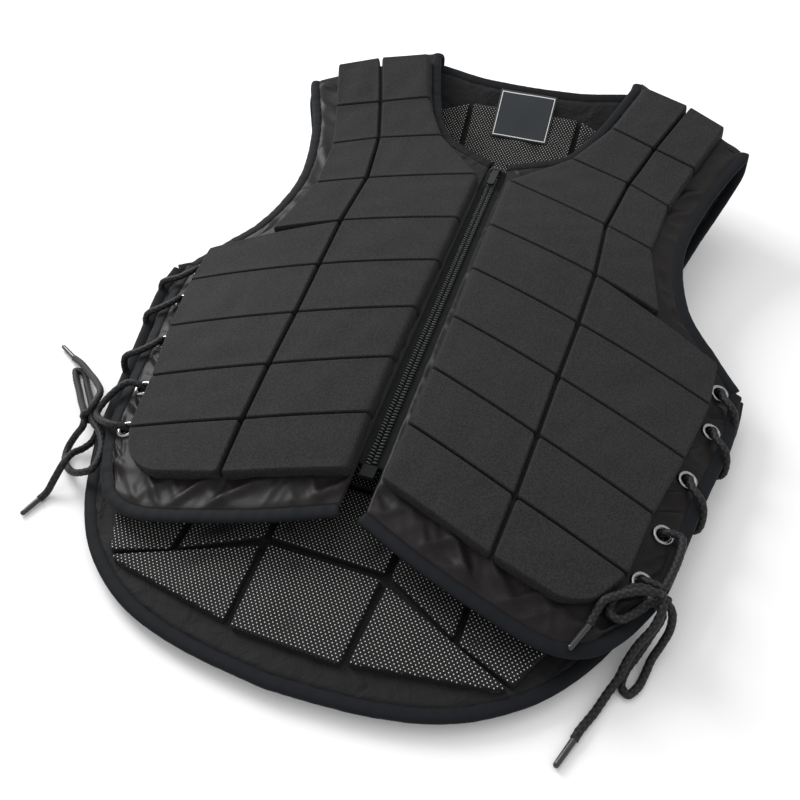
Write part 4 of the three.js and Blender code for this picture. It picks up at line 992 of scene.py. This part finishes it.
liningRows = [(0, 1), (1, 2), (2, 4), (4, 6), (6, 7), (7, 8), (8, 9)]
underRows = [(0, 2), (2, 4), (4, 6), (6, 8), (8, 9)]
panelHalf = vest["panel"] / 2
for rows, values, material, slot, down, label, cad in (
    (liningRows, liningPads, dotMesh, "lining_mesh", False, "Lining", "lining_pads"),
    (underRows, backPads, knit, "pad_knit", True, "Back", "back_pads"),
):
    middle = []
    for low, high in rows:
        middle.append([planOf(backSeams[low][0], -1), planOf(backSeams[low][0]),
                       planOf(backSeams[high][0]), planOf(backSeams[high][0], -1)])
    piece = padStrip(f"middle{label}Pads", middle, backPoint, panelHalf, values, material, 5, True, down)
    addPiece(piece, [f"{cad}_middle"])
    for name, side in sides.items():
        cells = [quad(backSeams, *rows[0], 0, 2, side)]  # the lowest block is one wedge
        cells += [quad(backSeams, low, high, near, far, side)
                  for low, high in rows[1:] for near, far in ((0, 1), (1, 2))]
        piece = padStrip(f"{name}{label}Pads", cells, backPoint, panelHalf, values, material,
                         9 + side, True, down)
        addPiece(piece, [f"{name}_{cad}"])
print("padded blocks made")


# Back panel: mesh above, satin below
def backPanel():
    k = 9
    columns = 7 * k
    tail = smoothEdge("tail", columns)
    high = joined(smoothEdge("backNeck", 3 * k), smoothEdge("crest", 4 * k))
    right = joined(smoothEdge("backSide", 7 * k), smoothEdge("backArm", 13 * k))
    mirror = lambda line: np.concatenate([line[:0:-1] * [-1, 1], line])
    plan = patch(mirror(tail), mirror(high), right * [-1, 1], right)
    low, outer = mirror(tail), right
    toTail = np.linalg.norm(plan - plan[:1], axis=-1)
    toSide = np.minimum(np.linalg.norm(plan - plan[:, -1:], axis=-1),
                        np.linalg.norm(plan - plan[:, :1], axis=-1))
    alongTail = np.broadcast_to(travelled(low)[None], toTail.shape)
    alongSide = np.broadcast_to(travelled(outer)[:, None], toTail.shape)
    rise = folds(alongTail, toTail, 0.022, [(0.046, 0.0004, 0.6), (0.024, 0.0003, -0.5)], 23)
    rise += folds(alongSide, toSide, 0.030, [(0.040, 0.0006, 0.5), (0.021, 0.0004, -0.4)], 29)
    keep = np.ones((plan.shape[0] - 1, plan.shape[1] - 1), bool)
    middles = backPoint((plan[:-1, :-1] + plan[1:, 1:]) / 2)
    for side in sides.values():
        for share in frontEyelets:
            centre, _ = backEyeletOn(side, share)
            far = np.linalg.norm(backPoint(plan) - centre, axis=-1)
            rise *= smoothStep(far, *cover["calm"])
            keep &= np.linalg.norm(middles - centre, axis=-1) > cover["hole"]
    top, bottom = backPoint(plan, panelHalf + rise), backPoint(plan, -panelHalf + 0.4 * rise)
    piece = sheet("backPanel", top, bottom, flatUv(plan, True), [plainMesh, satin], keep)
    addPiece(piece, ["back_panel"])


backPanel()


# Shoulders: the satin folded over from the front's upper edge to the back's
def shoulderCurve(side, u, steps):
    front = planOf(edges["neck"][-1], side) * (1 - u) + planOf(edges["arm"][-1], side) * u
    behind = planOf(edges["crest"][0], side) * (1 - u) + planOf(edges["crest"][1], side) * u
    lines = []
    for surface, plan, gap in ((frontPoint, front, 0.0), (backPoint, behind, 0.0)):
        end = surface(plan)
        way = end - surface(plan - [0, 0.002])
        way /= np.linalg.norm(way)
        lines += [end + way * gap, end + way * 0.014]
    p0, p1, p3, p2 = lines
    t = np.linspace(0, 1, steps + 1)[:, None]
    return (1 - t) ** 3 * p0 + 3 * (1 - t) ** 2 * t * p1 + 3 * (1 - t) * t ** 2 * p2 + t ** 3 * p3


def shoulder(name, side):
    grid = np.stack([shoulderCurve(side, u, 48) for u in np.linspace(0, 1, 61)])
    tangent = np.gradient(grid, axis=1)
    out = np.cross(np.array([1.0, 0, 0]), tangent)
    out /= np.linalg.norm(out, axis=-1, keepdims=True)
    u = np.linspace(0, 0.105, 61)[:, None] + np.zeros((1, 49))
    v = np.linspace(0, 0.05, 49)[None] + np.zeros((61, 1))
    rise = folds(u, v, 0.05, [(0.03, 0.0005, 0.4), (0.017, 0.0003, -0.5)], 41 + side)
    top, bottom = grid + out * (0.0013 + rise[..., None]), grid - out * 0.0013
    piece = sheet(f"{name}Shoulder", top, bottom, np.stack([u, v], -1), [satin, plainMesh])
    addPiece(piece, [f"{name}_shoulder"])


for name, side in sides.items():
    shoulder(name, side)
print("back and shoulders made")

# Bindings: woven tape folded over each edge, drawn as a rounded band, with a row of stitches inside it
bindingTape = {
    "halfWidth": 0.0048,
    "halfThickness": 0.0024,
    "centre": 0.0033,
    "roundness": 2.5,
    "sides": 20,
    "step": 0.0022,
    "ease": 4,
    "waviness": 0.00018,
    "stitchPitch": 0.0030,
    "stitchInset": 0.0010,
}


def edgeStretch(surface, plan, inward):
    path = surface(plan)
    out = np.cross(np.gradient(path, axis=0), surface(plan, 1.0) - surface(plan, 0.0)) * inward
    return path, out / np.linalg.norm(out, axis=-1, keepdims=True)


def foldStretch(side, u):
    path = shoulderCurve(side, u, 48)
    return path, np.tile([-side if u == 0 else side, 0.0, 0.0], (len(path), 1))


def turnedRound(stretch):
    return stretch[0][::-1], stretch[1][::-1]


def eased(values, reach):  # a running mean, with its ends held
    padded = np.concatenate([np.repeat(values[:1], reach, 0), values, np.repeat(values[-1:], reach, 0)])
    sums = np.cumsum(np.concatenate([np.zeros((1, values.shape[1])), padded]), axis=0)
    width = 2 * reach + 1
    return (sums[width:] - sums[:-width]) / width


def tapeFrames(stretches):
    path = np.concatenate([s[0] for s in stretches])
    out = np.concatenate([s[1] for s in stretches])
    count = int(travelled(path)[-1] / bindingTape["step"])
    both = evenly(np.concatenate([path, out * 1e-6], axis=1), count)
    reach = bindingTape["ease"]
    path, out = eased(both[:, :3], reach // 2), eased(both[:, 3:], reach)
    path[0], path[-1] = both[0, :3], both[-1, :3]
    tangent = np.gradient(path, axis=0)
    tangent /= np.linalg.norm(tangent, axis=-1, keepdims=True)
    out = out - tangent * (out * tangent).sum(-1, keepdims=True)
    out /= np.linalg.norm(out, axis=-1, keepdims=True)
    return path, tangent, out, np.cross(tangent, out)


def binding(name, stretches, nodes, seed):
    path, tangent, out, up = tapeFrames(stretches)
    along = travelled(path)
    phases = np.random.default_rng(seed).uniform(0, 2 * np.pi, 3)
    wave = sum(np.sin(2 * np.pi * along / size + p) for size, p in zip((0.031, 0.017, 0.009), phases)) / 3
    angle = -np.pi / 2 + 2 * np.pi * np.arange(bindingTape["sides"]) / bindingTape["sides"]
    power = 2 / bindingTape["roundness"]
    wide = np.sign(np.cos(angle)) * abs(np.cos(angle)) ** power * bindingTape["halfWidth"]
    high = np.sign(np.sin(angle)) * abs(np.sin(angle)) ** power * bindingTape["halfThickness"]
    centre = path + out * bindingTape["centre"] + up * (wave * bindingTape["waviness"] * 2)[:, None]
    swell = (1 + 0.07 * wave)[:, None, None]
    rings = centre[:, None] + out[:, None] * wide[None, :, None] + up[:, None] * high[None, :, None] * swell
    count, sideCount = rings.shape[:2]
    index = np.arange(count * sideCount).reshape(count, sideCount)
    nextOne = np.roll(index, -1, axis=1)
    faces = np.stack([index[:-1], nextOne[:-1], nextOne[1:], index[1:]], -1).reshape(-1, 4).tolist()
    faces += [index[0].tolist(), index[-1][::-1].tolist()]
    girth = np.linspace(0, 0.021, sideCount)
    uv = np.stack(np.broadcast_arrays(along[:, None], girth[None]), -1).reshape(-1, 2)
    piece = makeObject(name, rings.reshape(-1, 3), faces, [bindingCloth], None, uv)
    addPiece(piece, nodes)
    places = evenly(np.concatenate([centre, out * 1e-6, up * 1e-6, tangent * 1e-6], axis=1),
                    int(along[-1] / bindingTape["stitchPitch"]))
    inset = bindingTape["halfWidth"] - bindingTape["stitchInset"]
    lift = bindingTape["halfThickness"] * (1 - (inset / bindingTape["halfWidth"]) ** 2.5) ** power + 0.0001
    unit = lambda values: values / np.linalg.norm(values, axis=-1, keepdims=True)
    outs, ups, ways = (unit(places[:, k:k + 3]) for k in (3, 6, 9))
    spots = places[:, :3] - outs * inset + ups * lift
    return spots, ways, ups


stitchRows = []
for name, side in sides.items():
    hem, lacedSide, arm = (smoothEdge(key, 90, side) for key in ("hem", "side", "arm"))
    backArm = smoothEdge("backArm", 120, side)
    armhole = [edgeStretch(frontPoint, arm, side), foldStretch(side, 1),
               turnedRound(edgeStretch(backPoint, backArm, side))]
    stitchRows.append(binding(f"{name}ArmholeBinding", armhole, [f"{name}_armhole_tape"], 51 + side))
    lower = edgeStretch(frontPoint, joined(hem, lacedSide), side)
    stitchRows.append(binding(f"{name}FrontBinding", [lower], [f"{name}_front_tape"], 55 + side))
tailHalf = joined(smoothEdge("tail", 120), smoothEdge("backSide", 90))
tailLine = np.concatenate([tailHalf[:0:-1] * [-1, 1], tailHalf])
stitchRows.append(binding("backBinding", [edgeStretch(backPoint, tailLine, 1)], ["back_tape"], 61))
neckHalves = [[edgeStretch(frontPoint, smoothEdge("neck", 90, side), -side), foldStretch(side, 0)]
              for side in (1, -1)]
neckHalf = smoothEdge("backNeck", 60)
neckLine = np.concatenate([neckHalf[:0:-1] * [-1, 1], neckHalf])[::-1]
neckBinding = neckHalves[0] + [edgeStretch(backPoint, neckLine, 1)]
neckBinding += [turnedRound(stretch) for stretch in neckHalves[1][::-1]]
stitchRows.append(binding("neckBinding", neckBinding, ["neck_tape"], 65))
print("bindings made")


def turnsOf(ways, ups):  # Euler angles that lay local x along a way and local z along an up
    sidesOf = np.cross(ups, ways)
    sidesOf /= np.linalg.norm(sidesOf, axis=-1, keepdims=True)
    tops = np.cross(ways, sidesOf)
    return [Matrix(np.stack([w, s, t], 1).tolist()).to_euler() for w, s, t in zip(ways, sidesOf, tops)]


def scatter(name, shape, places, turns, material):  # copies a small shape to every place
    mesh = bpy.data.meshes.new(name)
    mesh.from_pydata([tuple(p) for p in places], [], [])
    mesh.attributes.new("turn", "FLOAT_VECTOR", "POINT").data.foreach_set(
        "vector", np.array([tuple(t) for t in turns], np.float32).ravel())
    piece = bpy.data.objects.new(name, mesh)
    bpy.context.scene.collection.objects.link(piece)
    tree = bpy.data.node_groups.new(name, "GeometryNodeTree")
    wanted = {"Places": "NodeSocketGeometry", "Shape": "NodeSocketObject", "Size": "NodeSocketFloat",
              "Finish": "NodeSocketMaterial"}
    for key, kind in wanted.items():
        tree.interface.new_socket(key, in_out="INPUT", socket_type=kind)
    tree.interface.new_socket("Copies", in_out="OUTPUT", socket_type="NodeSocketGeometry")
    given = addNode(tree, "NodeGroupInput")
    info = addNode(tree, "GeometryNodeObjectInfo", {}, {"Object": given.outputs["Shape"]})
    turn = addNode(tree, "GeometryNodeInputNamedAttribute", {"data_type": "FLOAT_VECTOR", "Name": "turn"})
    angle = next(output for output in turn.outputs if output.enabled)
    euler = addNode(tree, "FunctionNodeEulerToRotation", {}, {0: angle})
    copies = addNode(tree, "GeometryNodeInstanceOnPoints", {}, {
        "Points": given.outputs["Places"], "Instance": info.outputs["Geometry"], "Rotation": euler.outputs[0],
        "Scale": given.outputs["Size"]})
    real = addNode(tree, "GeometryNodeRealizeInstances", {}, {0: copies.outputs[0]})
    paint = addNode(tree, "GeometryNodeSetMaterial", {}, {
        "Geometry": real.outputs[0], "Material": given.outputs["Finish"]})
    result = addNode(tree, "NodeGroupOutput")
    tree.links.new(paint.outputs[0], result.inputs[0])
    modifier = piece.modifiers.new("copies", "NODES")
    modifier.node_group = tree
    values = {"Shape": shape, "Size": 1.0, "Finish": material}
    for item in tree.interface.items_tree:
        if item.in_out == "INPUT" and item.name in values:
            modifier[item.identifier] = values[item.name]
    evaluated = piece.evaluated_get(bpy.context.evaluated_depsgraph_get())
    piece.data = bpy.data.meshes.new_from_object(evaluated)
    piece.modifiers.clear()
    bpy.data.objects.remove(shape)
    return piece


def bead(length, width, height, rings, sideCount):  # a small closed ellipsoid
    work = bmesh.new()
    bmesh.ops.create_uvsphere(work, u_segments=sideCount, v_segments=rings, radius=1)
    bmesh.ops.rotate(work, cent=(0, 0, 0), matrix=Matrix.Rotation(math.pi / 2, 3, "Y"), verts=work.verts)
    bmesh.ops.scale(work, vec=(length / 2, width / 2, height / 2), verts=work.verts)
    mesh = bpy.data.meshes.new("bead")
    work.to_mesh(mesh)
    work.free()
    mesh.polygons.foreach_set("use_smooth", [True] * len(mesh.polygons))
    piece = bpy.data.objects.new("bead", mesh)
    bpy.context.scene.collection.objects.link(piece)
    return piece


stitch = {"length": 0.0023, "width": 0.0006, "height": 0.00045}
spots, ways, ups = (np.concatenate([row[k] for row in stitchRows]) for k in range(3))
stitches = scatter("bindingStitches", bead(stitch["length"], stitch["width"], stitch["height"], 4, 6),
                   spots, turnsOf(ways, ups), thread)
addPiece(stitches)
print("stitches made")


# Zip: two tapes, two rows of moulded teeth that meet in the middle
zipper = {
    "bottom": 0.1463,
    "top": 0.4905,
    "tapeReach": 0.0100,
    "tapeHalf": 0.0006,
    "toothPitch": 0.0026,
    "toothAcross": 0.0022,
    "toothLength": 0.0046,
    "toothWidth": 0.0014,
    "toothHeight": 0.0032,
    "toothRise": 0.0013,
    "slant": 0.16,
}
for name, side in sides.items():
    across = np.linspace(0.0001, zipper["tapeReach"], 9)
    along = np.linspace(zipper["bottom"], zipper["top"], 171)
    x, y = np.meshgrid(side * across, along)
    plan = np.stack([x, y], -1)
    wave = 0.00022 * np.sin(2 * np.pi * y / 0.019 + side) * (abs(x) / zipper["tapeReach"])
    top = frontPoint(plan, zipper["tapeHalf"] + wave - 0.0002)
    low = frontPoint(plan, wave - zipper["tapeHalf"] - 0.0002)
    tape = sheet(f"{name}ZipTape", top, low, plan, [zipTape, zipTape])
    addPiece(tape, [f"{name}_zip_tape"])

spots, ways, ups = [], [], []
for side in (-1, 1):
    y = np.arange(zipper["bottom"] + 0.001, 0.4875, zipper["toothPitch"])
    y = y + (zipper["toothPitch"] / 2 if side > 0 else 0)
    plan = np.stack([np.full_like(y, side * zipper["toothAcross"]), y], -1)
    spots.append(frontPoint(plan, zipper["toothRise"]))
    up = frontPoint(plan, 1.0) - frontPoint(plan, 0.0)
    ahead = frontPoint(plan + [0, 0.002]) - frontPoint(plan)
    ahead /= np.linalg.norm(ahead, axis=-1, keepdims=True)
    way = np.array([1.0, 0, 0]) + ahead * side * zipper["slant"]
    ways.append(way / np.linalg.norm(way, axis=-1, keepdims=True))
    ups.append(up)
spots, ways, ups = (np.concatenate(values) for values in (spots, ways, ups))
teeth = scatter("zipTeeth", bead(zipper["toothLength"], zipper["toothWidth"], zipper["toothHeight"], 6, 6),
                spots, turnsOf(ways, ups), nylon)
addPiece(teeth, ["zip_chain"])


def repaint(nodeName, material):  # a CAD piece keeps its shape and takes a finer finish
    node = bpy.data.objects[nodeName]
    for place in node.material_slots:
        place.material = material


repaint("zip_bottom_box", dullNylon)
repaint("zip_slider", enamel)
repaint("zip_pull", enamel)
print("zip made")


# Eyelets: rolled brass rings, with the barrel going down through the cloth
eyeletRing = {"bore": 0.0043, "barrel": 0.0049, "flange": 0.0072, "rise": 0.0015, "segments": 32}


def eyeletProfile(half):  # radius and height, round the section
    arc = np.linspace(0, np.pi, 11)
    middle = (eyeletRing["bore"] + eyeletRing["flange"]) / 2
    reach = (eyeletRing["flange"] - eyeletRing["bore"]) / 2
    top = [(middle + reach * math.cos(a), half + eyeletRing["rise"] * math.sin(a) ** 0.8) for a in arc]
    return np.array(top + [(eyeletRing["bore"], -half), (eyeletRing["barrel"], -half),
                           (eyeletRing["barrel"] + 0.0002, half - 0.0004),
                           (eyeletRing["flange"], half - 0.0004)])


def eyelets(name, places, half, nodes):
    profile = eyeletProfile(half)
    angle = 2 * np.pi * np.arange(eyeletRing["segments"]) / eyeletRing["segments"]
    points, faces = [], []
    for centre, normal in places:
        sideways = np.cross(normal, [0.0, 1.0, 0.0])
        sideways /= np.linalg.norm(sideways)
        ahead = np.cross(normal, sideways)
        ring = sideways * np.cos(angle)[:, None] + ahead * np.sin(angle)[:, None]
        grid = centre + ring[:, None] * profile[None, :, :1] + normal * profile[None, :, 1:]
        index = np.arange(grid.shape[0] * grid.shape[1]).reshape(grid.shape[:2]) + sum(len(p) for p in points)
        around, onward = np.roll(index, -1, 0), np.roll(index, -1, 1)
        faces.append(np.stack([index, around, np.roll(around, -1, 1), onward], -1).reshape(-1, 4))
        points.append(grid.reshape(-1, 3))
    piece = makeObject(name, np.concatenate(points), np.concatenate(faces), [nickel])
    return addPiece(piece, nodes)


for name, side in sides.items():
    names = [f"eyelet_{k + 1}" for k in range(len(frontEyelets))]
    eyelets(f"{name}FrontEyelets", [eyeletOn(side, share) for share in frontEyelets],
            vest["cover"] / 2 + 0.0002, [f"{name}_front_{key}" for key in names])
    eyelets(f"{name}BackEyelets", [backEyeletOn(side, share) for share in frontEyelets], panelHalf + 0.0002,
            [f"{name}_back_{key}" for key in names])
print("eyelets made")


# Label at the back of the neck
label = {"width": 0.057, "reach": 0.0345, "centre": 0.944 * vest["length"], "offset": 0.0070, "half": 0.0004}
across = np.linspace(-label["width"] / 2, label["width"] / 2, 26)
along = np.linspace(-label["reach"] / 2, label["reach"] / 2, 26) + label["centre"]
x, y = np.meshgrid(across, along)
plan = np.stack([x, y], -1)
ripple = 0.0003 * np.sin(x / 0.007) * np.cos(y / 0.009)
labelTop = backPoint(plan, label["offset"] + 2 * label["half"] + ripple)
labelLow = backPoint(plan, label["offset"] + ripple)
labelLength = travelled(labelTop[:, 13])
uv = np.stack([x + label["width"] / 2, np.broadcast_to(labelLength[:, None], x.shape)], -1)
labelCloth = makeLabel({"size": (label["width"], float(labelLength[-1]))}, {"inset": 0.0021, "width": 0.0008})
labelPiece = sheet("neckLabel", labelTop, labelLow, uv, [labelCloth, labelCloth])
addPiece(labelPiece, ["label"])
print("label made")


# Floor and lights
studio = {"floor": "#f4f4f4", "world": 0.80}
floorMesh = bpy.data.meshes.new("floor")
floorMesh.from_pydata([(-4, -4, 0), (4, -4, 0), (4, 4, 0), (-4, 4, 0)], [], [(0, 1, 2, 3)])
floor = bpy.data.objects.new("floor", floorMesh)
bpy.context.scene.collection.objects.link(floor)
floorPaint, floorTree, floorShader = newMaterial("mattPaper", {"Roughness": 0.9, "Specular IOR Level": 0.1})
floorShader.inputs["Base Color"].default_value = hexColour(studio["floor"])
floorMesh.materials.append(floorPaint)

world = bpy.data.worlds.new("studio")
world.use_nodes = True
world.node_tree.nodes["Background"].inputs[0].default_value = (1, 1, 1, 1)
world.node_tree.nodes["Background"].inputs[1].default_value = studio["world"]
bpy.context.scene.world = world
bpy.context.scene.view_settings.view_transform = "Standard"  # the paper stays white, as in the photo
lamps = {
    "key": {"place": (-1.5, 0.7, 1.2), "size": 0.9, "power": 30},
    "fill": {"place": (1.3, -0.6, 1.3), "size": 1.4, "power": 0.6},
    "top": {"place": (-0.4, 0.6, 1.9), "size": 1.2, "power": 6},
}
for name, lamp in lamps.items():
    data = bpy.data.lights.new(name, "AREA")
    data.shape = "SQUARE"
    data.size = lamp["size"]
    data.energy = lamp["power"]
    light = bpy.data.objects.new(name, data)
    light.location = lamp["place"]
    light.rotation_mode = "QUATERNION"
    light.rotation_quaternion = (-Vector(lamp["place"])).to_track_quat("-Z", "Y")
    bpy.context.scene.collection.objects.link(light)
print("studio made")

bpy.context.view_layer.update()
